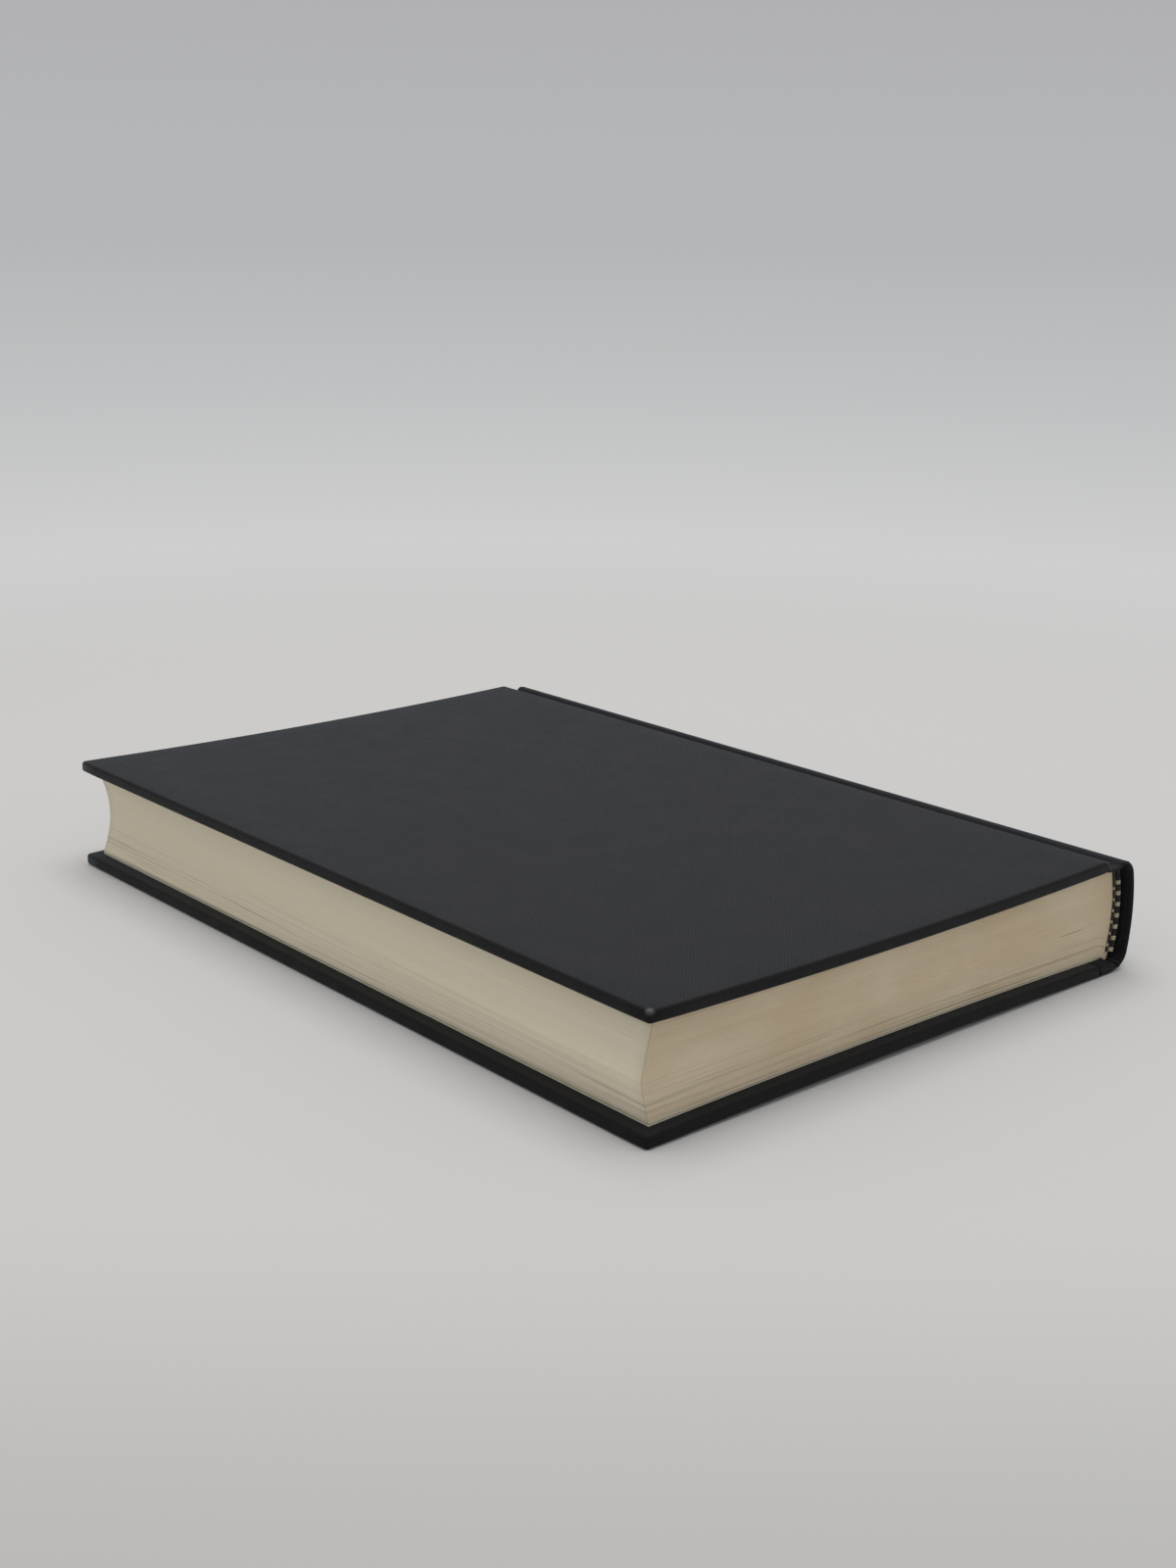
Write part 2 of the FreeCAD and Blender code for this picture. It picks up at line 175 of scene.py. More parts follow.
def shell_of_cells(counts):
    """Lattice corners and outward quads on the outside of a block of cells, with each quad's side."""
    index, faces, sides = {}, [], []
    for axis in range(3):
        a, b = (axis + 1) % 3, (axis + 2) % 3
        for end in (0, counts[axis]):
            for p in range(counts[a]):
                for q in range(counts[b]):
                    ring = []
                    for dp, dq in ((0, 0), (1, 0), (1, 1), (0, 1)):
                        corner = [0, 0, 0]
                        corner[axis], corner[a], corner[b] = end, p + dp, q + dq
                        ring.append(index.setdefault(tuple(corner), len(index)))
                    faces.append(ring if end else ring[::-1])
                    sides.append((axis, 1 if end else -1))
    return list(index), faces, sides


def new_piece(name, points, faces, smooth=True):
    """Object at the origin with its mesh in place; the points are in millimetres."""
    mesh = bpy.data.meshes.new(name)
    mesh.from_pydata([[c * MM for c in p] for p in points], [], faces)
    mesh.polygons.foreach_set("use_smooth", [smooth] * len(faces))
    mesh.update()
    piece = bpy.data.objects.new(name, mesh)
    bpy.context.scene.collection.objects.link(piece)
    return piece


shoulder_tip = [bend(CREST_X, CREST_Z, TIP_RADIUS, 180 - BACK_TILT, FLANK_TILT)]
long_back = [bend(BACK_X, MIDDLE, BACK_RADIUS, 180 + BACK_TILT, 180 - BACK_TILT)]
block_back = upside_down(shoulder_tip) + long_back + shoulder_tip
block_shoulder = [bend(SHOULDER_X, BLOCK_FACE + SHOULDER_RADIUS, -SHOULDER_RADIUS, FLANK_TILT, 90)]


def fore_edge(leaf, slip):
    """Where a leaf ends along X: in the hollow at the tail, slip 0, and on the ridge at the head, slip 1."""
    tail = -FORE_HOLLOW * (1 - (2 * leaf - 1) ** 2)
    head = FORE_BULGE + RIDGE_ROUND - math.hypot(RIDGE_ROUND, RIDGE_SLOPE * (leaf - RIDGE_LEAF))
    return LEAF_EDGE + tail * (1 - slip) + head * slip


def leaf_point(column, leaf, slip):
    """Place in the XZ plane of a leaf, from 0 at the back cover to 1, at a column from the back outwards."""
    if column >= SHOULDER_COLUMNS:
        fore = fore_edge(leaf, slip)
        x = SHOULDER_X + (fore - SHOULDER_X) * (column - SHOULDER_COLUMNS) / FACE_COLUMNS
        low, high = height("back", x, BLOCK_FACE), height("front", x, BLOCK_FACE)
        return x, low + (high - low) * leaf
    share = column / SHOULDER_COLUMNS
    back_x, back_z = walk(block_back, leaf)[:2]
    high_x, high_z = walk(block_shoulder, share)[:2]
    low_z = 2 * MIDDLE - high_z
    low, high = THICKNESS - BLOCK_FACE, BLOCK_FACE
    corner_x, corner_z = walk(block_shoulder, 0)[:2]
    x = high_x + (1 - share) * (back_x - corner_x)
    z = (1 - share) * back_z + share * (low + (high - low) * leaf)
    z += (1 - leaf) * low_z + leaf * high_z
    z -= (1 - share) * ((1 - leaf) * (2 * MIDDLE - corner_z) + leaf * corner_z)
    z -= share * ((1 - leaf) * low + leaf * high)
    return x, z


random = np.random.default_rng(RELIEF_SEED)


def uneven(rows, columns):
    """Seeded relief that differs from leaf to leaf and changes slowly along it."""
    raw = random.normal(size=(rows, columns + 2 * RELIEF_REACH))
    window = np.hanning(2 * RELIEF_REACH + 1)
    smooth = np.apply_along_axis(lambda row: np.convolve(row, window, "valid"), 1, raw)
    return EDGE_RELIEF * smooth / smooth.std()


columns = SHOULDER_COLUMNS + FACE_COLUMNS
fore_relief = uneven(LEAF_ROWS + 1, LENGTH_CELLS + 1)
end_relief = {end: uneven(LEAF_ROWS + 1, columns + 1) for end in (-1, 1)}
lattice, faces, sides = shell_of_cells((columns, LENGTH_CELLS, LEAF_ROWS))
points = []
for i, j, k in lattice:
    x, z = leaf_point(i, k / LEAF_ROWS, j / LENGTH_CELLS)
    y = HALF_BLOCK * (2 * j / LENGTH_CELLS - 1)
    if i == columns and 0 < k < LEAF_ROWS:
        x += fore_relief[k, j]
    if j in (0, LENGTH_CELLS) and 0 < k < LEAF_ROWS:
        end = 1 if j else -1
        y += end * min(0, end_relief[end][k, i])
    points.append((x, y, z))
leaves = new_piece("leaves", points, faces)
leaf_mark = leaves.data.attributes.new("leaf", "FLOAT", "POINT")
leaf_mark.data.foreach_set("value", [k / LEAF_ROWS for i, j, k in lattice])
for polygon, (axis, end) in zip(leaves.data.polygons, sides):
    polygon.use_smooth = axis != 1


def linear(code):
    """Blender's linear colour for an sRGB hex code."""
    channels = [int(code[i:i + 2], 16) / 255 for i in (1, 3, 5)]
    return [c / 12.92 if c <= 0.04045 else ((c + 0.055) / 1.055) ** 2.4 for c in channels] + [1.0]


def add(tree, kind, inputs=None, **settings):
    """Add a node, with its settings, and set or link its inputs."""
    made = tree.nodes.new(kind)
    for name, value in settings.items():
        setattr(made, name, value)
    for name, value in (inputs or {}).items():
        if isinstance(value, bpy.types.NodeSocket):
            tree.links.new(value, made.inputs[name])
        else:
            made.inputs[name].default_value = value
    return made


def new_material(name):
    """Material with an empty node tree."""
    material = bpy.data.materials.new(name)
    material.use_nodes = True
    material.node_tree.nodes.clear()
    return material


def finish_material(material, colour, height_map, bump_mm, **shader):
    """Close a material with a principled shader; bump_mm is the relief's real depth."""
    tree = material.node_tree
    relief = {"Height": height_map, "Distance": bump_mm * MM, "Strength": 1.0}
    bump = add(tree, "ShaderNodeBump", relief)
    inputs = {"Base Color": colour, "Normal": bump.outputs["Normal"]}
    inputs.update({name.replace("_", " "): value for name, value in shader.items()})
    surface = add(tree, "ShaderNodeBsdfPrincipled", inputs)
    add(tree, "ShaderNodeOutputMaterial", {"Surface": surface.outputs["BSDF"]})
    return material


def position(tree):
    """Object coordinates, in millimetres."""
    place = add(tree, "ShaderNodeTexCoord").outputs["Object"]
    return add(tree, "ShaderNodeVectorMath", {0: place, 3: 1 / MM}, operation="SCALE").outputs[0]


# Uncoated book paper: matt, warm, a little browned where dust settles on the head.
# Leaves are about 0.1 mm thick, too fine to show, so the layers are drawn as groups of leaves, with painted
# shade in darker lines between the groups, stronger towards the bottom.
PAPER_CREAM = "#e2d8c0"
# Painted shade: the colour of the darker lines in the gaps between groups of leaves.
PAPER_LAYER_SHADE = "#a59a80"
PAPER_DUST = "#e9ded2"
PAPER_STAIN = "#85765c"
LAYER_MM = 0.6
GRAIN_ROUGHNESS = 0.55
LAYER_STRETCH = 0.008
BLOCK_MM = 2 * BLOCK_FACE - THICKNESS
DUST_MM = 14.0
DUST_FADE = (0.6, 0.2)
FIBRE_MM = 0.15
SPECKS = ((78.5, -87.9, 19.2), (79.0, -79.3, 15.4))
SPECK_MM = 0.9
SPECK_FRAY_MM = 0.4
SCRATCH_MIDDLE = (-63.6, HALF_BLOCK, 12.9)
SCRATCH_HALF = (7.2, 1.0, 0.18)


def trimmed_paper():
    material = new_material("uncoated_book_paper_trimmed")
    tree = material.node_tree
    place = position(tree)
    parts = add(tree, "ShaderNodeSeparateXYZ", {0: place}).outputs
    leaf = add(tree, "ShaderNodeAttribute", attribute_name="leaf").outputs["Fac"]
    level = add(tree, "ShaderNodeMath", {0: leaf, 1: BLOCK_MM}, operation="MULTIPLY").outputs[0]
    along_x = add(
        tree, "ShaderNodeMath", {0: parts["X"], 1: LAYER_STRETCH}, operation="MULTIPLY"
    ).outputs[0]
    along_y = add(
        tree, "ShaderNodeMath", {0: parts["Y"], 1: LAYER_STRETCH}, operation="MULTIPLY"
    ).outputs[0]
    layer_place = add(tree, "ShaderNodeCombineXYZ", {0: along_x, 1: along_y, 2: level}).outputs[0]
    fine = add(
        tree, "ShaderNodeTexNoise",
        {"Vector": layer_place, "Scale": 1 / LAYER_MM, "Detail": 4.0, "Roughness": GRAIN_ROUGHNESS}
    ).outputs["Fac"]
    broad = add(
        tree, "ShaderNodeTexNoise",
        {"Vector": layer_place, "Scale": 1 / (5 * LAYER_MM), "Detail": 2.0, "Roughness": GRAIN_ROUGHNESS}
    ).outputs["Fac"]
    lower = add(
        tree, "ShaderNodeMapRange", {"Value": leaf, "From Min": 0.5, "From Max": 0.08},
        interpolation_type="SMOOTHSTEP"
    ).outputs["Result"]
    strength = add(
        tree, "ShaderNodeMath", {0: lower, 1: 0.55, 2: 0.05}, operation="MULTIPLY_ADD"
    ).outputs[0]
    # Painted shade: darker lines in the gaps between groups of leaves, stronger towards the bottom.
    lines = add(
        tree, "ShaderNodeMapRange", {"Value": fine, "From Min": 0.52, "From Max": 0.7},
        interpolation_type="SMOOTHSTEP"
    ).outputs["Result"]
    layers = add(tree, "ShaderNodeMath", {0: lines, 1: strength}, operation="MULTIPLY").outputs[0]
    colour = add(
        tree, "ShaderNodeMix", {0: layers, 6: linear(PAPER_CREAM), 7: linear(PAPER_LAYER_SHADE)},
        data_type="RGBA"
    ).outputs[2]
    start, end = [HALF_BLOCK - inset for inset in DUST_FADE]
    on_head = add(
        tree, "ShaderNodeMapRange", {"Value": parts["Y"], "From Min": start, "From Max": end},
        interpolation_type="SMOOTHSTEP"
    ).outputs["Result"]
    drawn_out = add(
        tree, "ShaderNodeVectorMath", {0: place, 1: (0.5, 1, 1)}, operation="MULTIPLY"
    ).outputs[0]
    dust = add(
        tree, "ShaderNodeTexNoise",
        {"Vector": drawn_out, "Scale": 1 / DUST_MM, "Detail": 3.0, "Roughness": GRAIN_ROUGHNESS}
    ).outputs["Fac"]
    dust = add(
        tree, "ShaderNodeMapRange",
        {"Value": dust, "From Min": 0.3, "From Max": 0.7, "To Min": 0.6, "To Max": 1.0},
        interpolation_type="SMOOTHSTEP"
    ).outputs["Result"]
    dust = add(tree, "ShaderNodeMath", {0: on_head, 1: dust}, operation="MULTIPLY").outputs[0]
    colour = add(
        tree, "ShaderNodeMix", {0: dust, 6: colour, 7: linear(PAPER_DUST)}, data_type="RGBA",
        blend_type="MULTIPLY"
    ).outputs[2]
    wash = add(
        tree, "ShaderNodeMapRange",
        {"Value": broad, "From Min": 0.3, "From Max": 0.7, "To Min": 0.98, "To Max": 1.02},
        interpolation_type="SMOOTHSTEP"
    ).outputs["Result"]
    colour = add(tree, "ShaderNodeVectorMath", {0: colour, 3: wash}, operation="SCALE").outputs[0]
    for speck in SPECKS:
        near = add(
            tree, "ShaderNodeVectorMath", {0: place, 1: speck}, operation="DISTANCE"
        ).outputs["Value"]
        ragged = add(
            tree, "ShaderNodeTexNoise",
            {"Vector": place, "Scale": 1 / SPECK_FRAY_MM, "Detail": 3.0, "Roughness": GRAIN_ROUGHNESS}
        ).outputs["Fac"]
        ragged = add(
            tree, "ShaderNodeMath", {0: ragged, 1: 0.8, 2: near}, operation="MULTIPLY_ADD"
        ).outputs[0]
        stain = add(
            tree, "ShaderNodeMapRange",
            {"Value": ragged, "From Min": SPECK_MM, "From Max": 0.5 * SPECK_MM, "To Max": 0.6},
            interpolation_type="SMOOTHSTEP"
        ).outputs["Result"]
        colour = add(
            tree, "ShaderNodeMix", {0: stain, 6: colour, 7: linear(PAPER_STAIN)}, data_type="RGBA"
        ).outputs[2]
    offset = add(tree, "ShaderNodeVectorMath", {0: place, 1: SCRATCH_MIDDLE}, operation="SUBTRACT")
    offset = add(tree, "ShaderNodeVectorMath", {0: offset.outputs[0], 1: SCRATCH_HALF}, operation="DIVIDE")
    from_scratch = add(tree, "ShaderNodeVectorMath", {0: offset.outputs[0]}, operation="LENGTH")
    scratch = add(
        tree, "ShaderNodeMapRange",
        {"Value": from_scratch.outputs["Value"], "From Min": 1.0, "From Max": 0.5, "To Max": 0.6},
        interpolation_type="SMOOTHSTEP"
    ).outputs["Result"]
    colour = add(
        tree, "ShaderNodeMix", {0: scratch, 6: colour, 7: linear(PAPER_STAIN)}, data_type="RGBA"
    ).outputs[2]
    relief = add(
        tree, "ShaderNodeTexNoise",
        {"Vector": place, "Scale": 1 / FIBRE_MM, "Detail": 3.0, "Roughness": GRAIN_ROUGHNESS}
    ).outputs["Fac"]
    relief = add(tree, "ShaderNodeMath", {0: fine, 1: relief}, operation="ADD").outputs[0]
    return finish_material(
        material, colour, relief, 0.02, Roughness=0.88, IOR=1.45, Specular_IOR_Level=0.25
    )


leaves.data.materials.append(trimmed_paper())
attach(leaves, "text_block")
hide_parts("text_block")


# Endpapers.
# One folded sheet of stout, smooth paper at each end of the leaves: one half is pasted to the board, the
# other half, the flyleaf, is tipped to the leaves along the joint. The fold itself is a narrow strip
# that opens with the cover.

# Smooth wove paper: matt and off-white, with faint clouds where the paste has yellowed it.
ENDPAPER_PALE = "#e2dac5"
ENDPAPER_YELLOWED = "#dfd6c0"
PASTE_CLOUD_MM = 30.0
WOVE_MM = 0.25


def endpaper_sheet():
    material = new_material("endpaper_smooth_wove")
    tree = material.node_tree
    place = position(tree)
    cloud = add(
        tree, "ShaderNodeTexNoise",
        {"Vector": place, "Scale": 1 / PASTE_CLOUD_MM, "Detail": 3.0, "Roughness": GRAIN_ROUGHNESS}
    ).outputs["Fac"]
    cloud = add(
        tree, "ShaderNodeMapRange", {"Value": cloud, "From Min": 0.3, "From Max": 0.7},
        interpolation_type="SMOOTHSTEP"
    ).outputs["Result"]
    colour = add(
        tree, "ShaderNodeMix", {0: cloud, 6: linear(ENDPAPER_PALE), 7: linear(ENDPAPER_YELLOWED)},
        data_type="RGBA"
    ).outputs[2]
    relief = add(
        tree, "ShaderNodeTexNoise",
        {"Vector": place, "Scale": 1 / WOVE_MM, "Detail": 3.0, "Roughness": GRAIN_ROUGHNESS}
    ).outputs["Fac"]
    return finish_material(
        material, colour, relief, 0.015, Roughness=0.85, IOR=1.45, Specular_IOR_Level=0.25
    )


endpaper = endpaper_sheet()


def repaint(node_name, material):
    """Give a CAD node its material."""
    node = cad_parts[node_name]
    node.data.materials.clear()
    node.data.materials.append(material)


for side in ("front", "back"):
    repaint(side + "_flyleaf", endpaper)
    repaint(side + "_pastedown", endpaper)


def strip_from(sections):
    """Closed mesh from a row of equal loops of points, with flat ends."""
    count = len(sections[0])
    points = [p for loop in sections for p in loop]
    faces = []
    for row in range(len(sections) - 1):
        for n in range(count):
            a, b = row * count + n, row * count + (n + 1) % count
            faces.append((a, b, b + count, a + count))
    faces.append(tuple(reversed(range(count))))
    faces.append(tuple(range(len(points) - count, len(points))))
    return points, faces


def outward(piece):
    """Recalculate a closed piece's normals so that its faces point outwards."""
    work = bmesh.new()
    work.from_mesh(piece.data)
    bmesh.ops.recalc_face_normals(work, faces=work.faces)
    work.to_mesh(piece.data)
    work.free()


PASTEDOWN_FACE = TURN_IN_FACE - PAPER
FOLD_LOW = BLOCK_FACE + PAPER / 2
FOLD_HIGH = PASTEDOWN_FACE + PAPER / 2
FOLD_HINGE_X = CREST_X + 2.1
FOLD_NOSE_X = FOLD_HINGE_X + 0.15
FOLD_RISE = 0.16
FOLD_LAP = 0.45
FOLD_HALF_PAPER = 0.45 * PAPER
FOLD_LEAD = ((0.3, 0), (-0.2, 0), (-0.8, 0.3))
FOLD_STEPS = 6
FOLD_ROWS = 25


def fold_line():
    """Middle line of the folded strip: along the flyleaf, round the nose, back along the pastedown."""
    centre = (FOLD_LOW + FOLD_RISE + FOLD_HIGH) / 2
    radius = (FOLD_HIGH - FOLD_LOW - FOLD_RISE) / 2
    middle = [(SHOULDER_X + x, FOLD_LOW + share * FOLD_RISE) for x, share in FOLD_LEAD]
    middle.append((FOLD_NOSE_X, FOLD_LOW + FOLD_RISE))
    for step in range(1, FOLD_STEPS):
        turn = math.radians(-90 - 180 * step / FOLD_STEPS)
        middle.append((FOLD_NOSE_X + radius * math.cos(turn), centre + radius * math.sin(turn)))
    return middle + [(FOLD_NOSE_X, FOLD_HIGH), (FOLD_NOSE_X + FOLD_LAP, FOLD_HIGH)]


def endpaper_fold(side):
    """The strip of an endpaper between flyleaf and pastedown, folded back on itself at rest."""
    middle = fold_line()
    first, second = [], []
    for n, (x, z) in enumerate(middle):
        before, after = middle[max(n - 1, 0)], middle[min(n + 1, len(middle) - 1)]
        length = math.hypot(after[0] - before[0], after[1] - before[1])
        nx, nz = (before[1] - after[1]) / length, (after[0] - before[0]) / length
        first.append((x + nx * FOLD_HALF_PAPER, z + nz * FOLD_HALF_PAPER))
        second.append((x - nx * FOLD_HALF_PAPER, z - nz * FOLD_HALF_PAPER))
    loop = first + second[::-1]
    rows = []
    for y in np.linspace(-HALF_BLOCK, HALF_BLOCK, FOLD_ROWS):
        rows.append([(x, y, z if side == "front" else THICKNESS - z) for x, z in loop])
    points, faces = strip_from(rows)
    piece = new_piece(side + "_endpaper_fold", points, faces)
    outward(piece)
    piece.data.materials.append(endpaper)
    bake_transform(piece)


for side in ("front", "back"):
    endpaper_fold(side)


# Mull and kraft lining.
# A starched open gauze is glued over the back of the sewn leaves and reaches onto both boards; brown
# kraft paper covers it between the shoulders. Both are hidden once the book is cased in.

GAUZE_PITCH = 1.1
GAUZE_GAP = "#b5ab93"
GAUZE_THREAD = "#e4dcc8"
KRAFT_DARK = "#8f6f4b"
KRAFT_LIGHT = "#b4936a"
KRAFT_FIBRE_MM = 1.5
FIBRE_RELIEF = 0.03


# Starched gauze: open, matt threads that stand up from a film of dried paste.
def gauze():
    material = new_material("mull_starched_gauze")
    tree = material.node_tree
    place = position(tree)
    waves = []
    for part in ("X", "Y"):
        across = add(tree, "ShaderNodeSeparateXYZ", {0: place}).outputs[part]
        turn = add(
            tree, "ShaderNodeMath", {0: across, 1: 2 * math.pi / GAUZE_PITCH}, operation="MULTIPLY"
        ).outputs[0]
        waves.append(add(tree, "ShaderNodeMath", {0: turn}, operation="SINE").outputs[0])
    threads = add(tree, "ShaderNodeMath", {0: waves[0], 1: waves[1]}, operation="MAXIMUM").outputs[0]
    threads = add(
        tree, "ShaderNodeMapRange", {"Value": threads, "From Min": 0.2, "From Max": 0.9},
        interpolation_type="SMOOTHSTEP"
    ).outputs["Result"]
    colour = add(
        tree, "ShaderNodeMix", {0: threads, 6: linear(GAUZE_GAP), 7: linear(GAUZE_THREAD)},
        data_type="RGBA"
    ).outputs[2]
    return finish_material(material, colour, threads, 0.12, Roughness=0.9, IOR=1.45)


def fibrous(name, dark, light, fibre_mm, detail, stretch=(1, 1, 1), **shader):
    """Material in two tones that a noise mixes, which is also its relief."""
    material = new_material(name)
    tree = material.node_tree
    place = add(
        tree, "ShaderNodeVectorMath", {0: position(tree), 1: stretch}, operation="MULTIPLY"
    ).outputs[0]
    fibres = add(
        tree, "ShaderNodeTexNoise",
        {"Vector": place, "Scale": 1 / fibre_mm, "Detail": detail, "Roughness": GRAIN_ROUGHNESS}
    ).outputs["Fac"]
    colour = add(
        tree, "ShaderNodeMix", {0: fibres, 6: linear(dark), 7: linear(light)}, data_type="RGBA"
    ).outputs[2]
    return finish_material(material, colour, fibres, FIBRE_RELIEF, **shader)


# Kraft paper, rolled from unbleached pulp: brown and matt, with fibres that run along the sheet.
def kraft_paper():
    return fibrous(
        "kraft_paper_glued", KRAFT_DARK, KRAFT_LIGHT, KRAFT_FIBRE_MM, 5.0, (1, 0.25, 1),
        Roughness=0.85, IOR=1.45
    )


mull = gauze()
for node_name in ("spine_mull", "front_mull_flap", "back_mull_flap"):
    repaint(node_name, mull)
repaint("spine_lining", kraft_paper())


# Headband and tailband.
# A thin cord is wrapped side by side with black and cream cotton in stripes, and sewn to a tape that is
# glued to the back of the leaves. A second, smaller row of wraps on the leaves' side shows the stripes
# half a step out of line.

BEAD_RADIUS = 0.9
BEAD_INSIDE = 0.05
BEAD_END_GAP = 0.6
CORD_RADIUS = 0.66
STRIPE_PITCH = 3.04
WRAPS_PER_REPEAT = 8
CREAM_STRIPES = 7
WRAP = STRIPE_PITCH / WRAPS_PER_REPEAT
MULL = 0.35
TAPE_END = 15.0
TAPE_SHORT_DEG = 2.2
BASE_RADIUS = 0.27
BASE_OFFSET = 1.2
BEAD_HALF_SPAN = BLOCK_FACE - MIDDLE - BEAD_END_GAP
THREAD_CORNERS = 6
RING_CORNERS = 14
CORE_CORNERS = 12
THREAD_FULLNESS = 0.56
PATH_POINTS = 33
TAPE_ROWS = 25
FUZZ_MM = 0.12


# Twisted cotton thread: fairly matt, with a trace of sheen from its fuzz, greyed by dust where cream.
def cotton(name, dark, light):
    return fibrous(name, dark, light, FUZZ_MM, 2.0, Roughness=0.8, IOR=1.5, Sheen_Weight=0.15)


cream_cotton = cotton("cotton_thread_cream", "#aaa088", "#c6bca4")
black_cotton = cotton("cotton_thread_black", "#0f0c09", "#211b16")


def wrap_tree():
    """Geometry Nodes that wrap a path with side-by-side turns of thread in two colours."""
    tree = bpy.data.node_groups.new("wrapped_cord", "GeometryNodeTree")
    sockets = {
        "Geometry": ["Path"],
        "Float": ["Thread thickness", "Core radius", "Slant"],
        "Int": ["Wraps per repeat", "Cream wraps", "Cream stripes", "First wrap"],
        "Material": ["Cream thread", "Black thread"],
    }
    for kind, names in sockets.items():
        for name in names:
            tree.interface.new_socket(name, in_out="INPUT", socket_type="NodeSocket" + kind)
    tree.interface.new_socket("Cord", in_out="OUTPUT", socket_type="NodeSocketGeometry")
    given = add(tree, "NodeGroupInput").outputs
    thread = given["Thread thickness"]
    path = add(tree, "GeometryNodeMeshToCurve", {"Mesh": given["Path"]}).outputs[0]
    turns = add(tree, "GeometryNodeResampleCurve", {"Curve": path, "Length": thread}, mode="LENGTH")
    half_thread = add(tree, "ShaderNodeMath", {0: thread, 1: 0.5}, operation="MULTIPLY").outputs[0]
    ring_radius = add(
        tree, "ShaderNodeMath", {0: given["Core radius"], 1: half_thread}, operation="SUBTRACT"
    ).outputs[0]
    circle = "GeometryNodeCurvePrimitiveCircle"
    ring = add(tree, circle, {"Resolution": RING_CORNERS, "Radius": ring_radius}).outputs[0]
    profile_radius = add(
        tree, "ShaderNodeMath", {0: thread, 1: THREAD_FULLNESS}, operation="MULTIPLY"
    ).outputs[0]
    profile = add(tree, circle, {"Resolution": THREAD_CORNERS, "Radius": profile_radius}).outputs[0]
    turn = add(tree, "GeometryNodeCurveToMesh", {"Curve": ring, "Profile Curve": profile})
    count = add(
        tree, "ShaderNodeMath",
        {0: add(tree, "GeometryNodeInputIndex").outputs[0], 1: given["First wrap"]}, operation="ADD"
    ).outputs[0]
    in_repeat = add(
        tree, "ShaderNodeMath", {0: count, 1: given["Wraps per repeat"]}, operation="MODULO"
    ).outputs[0]
    striped = add(
        tree, "ShaderNodeMath", {0: given["Cream stripes"], 1: given["Wraps per repeat"]},
        operation="MULTIPLY"
    ).outputs[0]
    tests = []
    for value, limit in ((in_repeat, given["Cream wraps"]), (count, striped)):
        test = add(
            tree, "FunctionNodeCompare", {0: value, 1: limit}, data_type="FLOAT", operation="LESS_THAN"
        )
        tests.append(test.outputs[0])
    is_cream = add(tree, "FunctionNodeBooleanMath", dict(enumerate(tests)), operation="AND")
    marked = add(
        tree, "GeometryNodeStoreNamedAttribute",
        {"Geometry": turns.outputs[0], "Name": "cream", "Value": is_cream.outputs[0]},
        data_type="BOOLEAN", domain="POINT"
    )
    tangent = add(tree, "GeometryNodeInputTangent").outputs[0]
    facing = add(tree, "FunctionNodeAlignRotationToVector", {"Vector": tangent}, axis="Z")
    slant = add(tree, "ShaderNodeCombineXYZ", {0: given["Slant"]}).outputs[0]
    slant = add(tree, "FunctionNodeEulerToRotation", {0: slant}).outputs[0]
    leaning = add(
        tree, "FunctionNodeRotateRotation", {0: facing.outputs[0], 1: slant}, rotation_space="LOCAL"
    )
    placed = add(tree, "GeometryNodeInstanceOnPoints", {
        "Points": marked.outputs[0], "Instance": turn.outputs[0], "Rotation": leaning.outputs[0],
    })
    loose = add(tree, "GeometryNodeRealizeInstances", {0: placed.outputs[0]}).outputs[0]
    painted = add(tree, "GeometryNodeSetMaterial", {"Geometry": loose, "Material": given["Black thread"]})
    chosen = add(tree, "GeometryNodeInputNamedAttribute", {"Name": "cream"}, data_type="BOOLEAN").outputs[0]
    painted = add(tree, "GeometryNodeSetMaterial", {
        "Geometry": painted.outputs[0], "Selection": chosen, "Material": given["Cream thread"],
    })
    core = add(tree, circle, {"Resolution": CORE_CORNERS, "Radius": ring_radius}).outputs[0]
    rope = add(tree, "GeometryNodeCurveToMesh", {"Curve": path, "Profile Curve": core, "Fill Caps": True})
    rope = add(tree, "GeometryNodeSetMaterial", {
        "Geometry": rope.outputs[0], "Material": given["Black thread"],
    })
    both = add(tree, "GeometryNodeJoinGeometry")
    tree.links.new(rope.outputs[0], both.inputs[0])
    tree.links.new(painted.outputs[0], both.inputs[0])
    smooth = add(tree, "GeometryNodeSetShadeSmooth", {"Geometry": both.outputs[0]})
    add(tree, "NodeGroupOutput", {0: smooth.outputs[0]})
    return tree


wrapped_cord = wrap_tree()


def wrapped(name, path, **sizes):
    """Plain mesh object of a wrapped cord along a path of points."""
    mesh = bpy.data.meshes.new(name)
    steps = [(n, n + 1) for n in range(len(path) - 1)]
    mesh.from_pydata([[c * MM for c in p] for p in path], steps, [])
    carrier = bpy.data.objects.new(name + "_path", mesh)
    bpy.context.scene.collection.objects.link(carrier)
    modifier = carrier.modifiers.new("wrapped_cord", "NODES")
    modifier.node_group = wrapped_cord
    inputs = {s.name: s.identifier for s in wrapped_cord.interface.items_tree if s.in_out == "INPUT"}
    values = {"Cream thread": cream_cotton, "Black thread": black_cotton}
    values.update({key.replace("_", " "): value for key, value in sizes.items()})
    for key, value in values.items():
        modifier[inputs[key]] = value
    bpy.context.view_layer.update()
    graph = bpy.context.evaluated_depsgraph_get()
    plain = bpy.data.meshes.new_from_object(carrier.evaluated_get(graph))
    piece = bpy.data.objects.new(name, plain)
    bpy.context.scene.collection.objects.link(piece)
    bpy.data.objects.remove(carrier)
    return piece


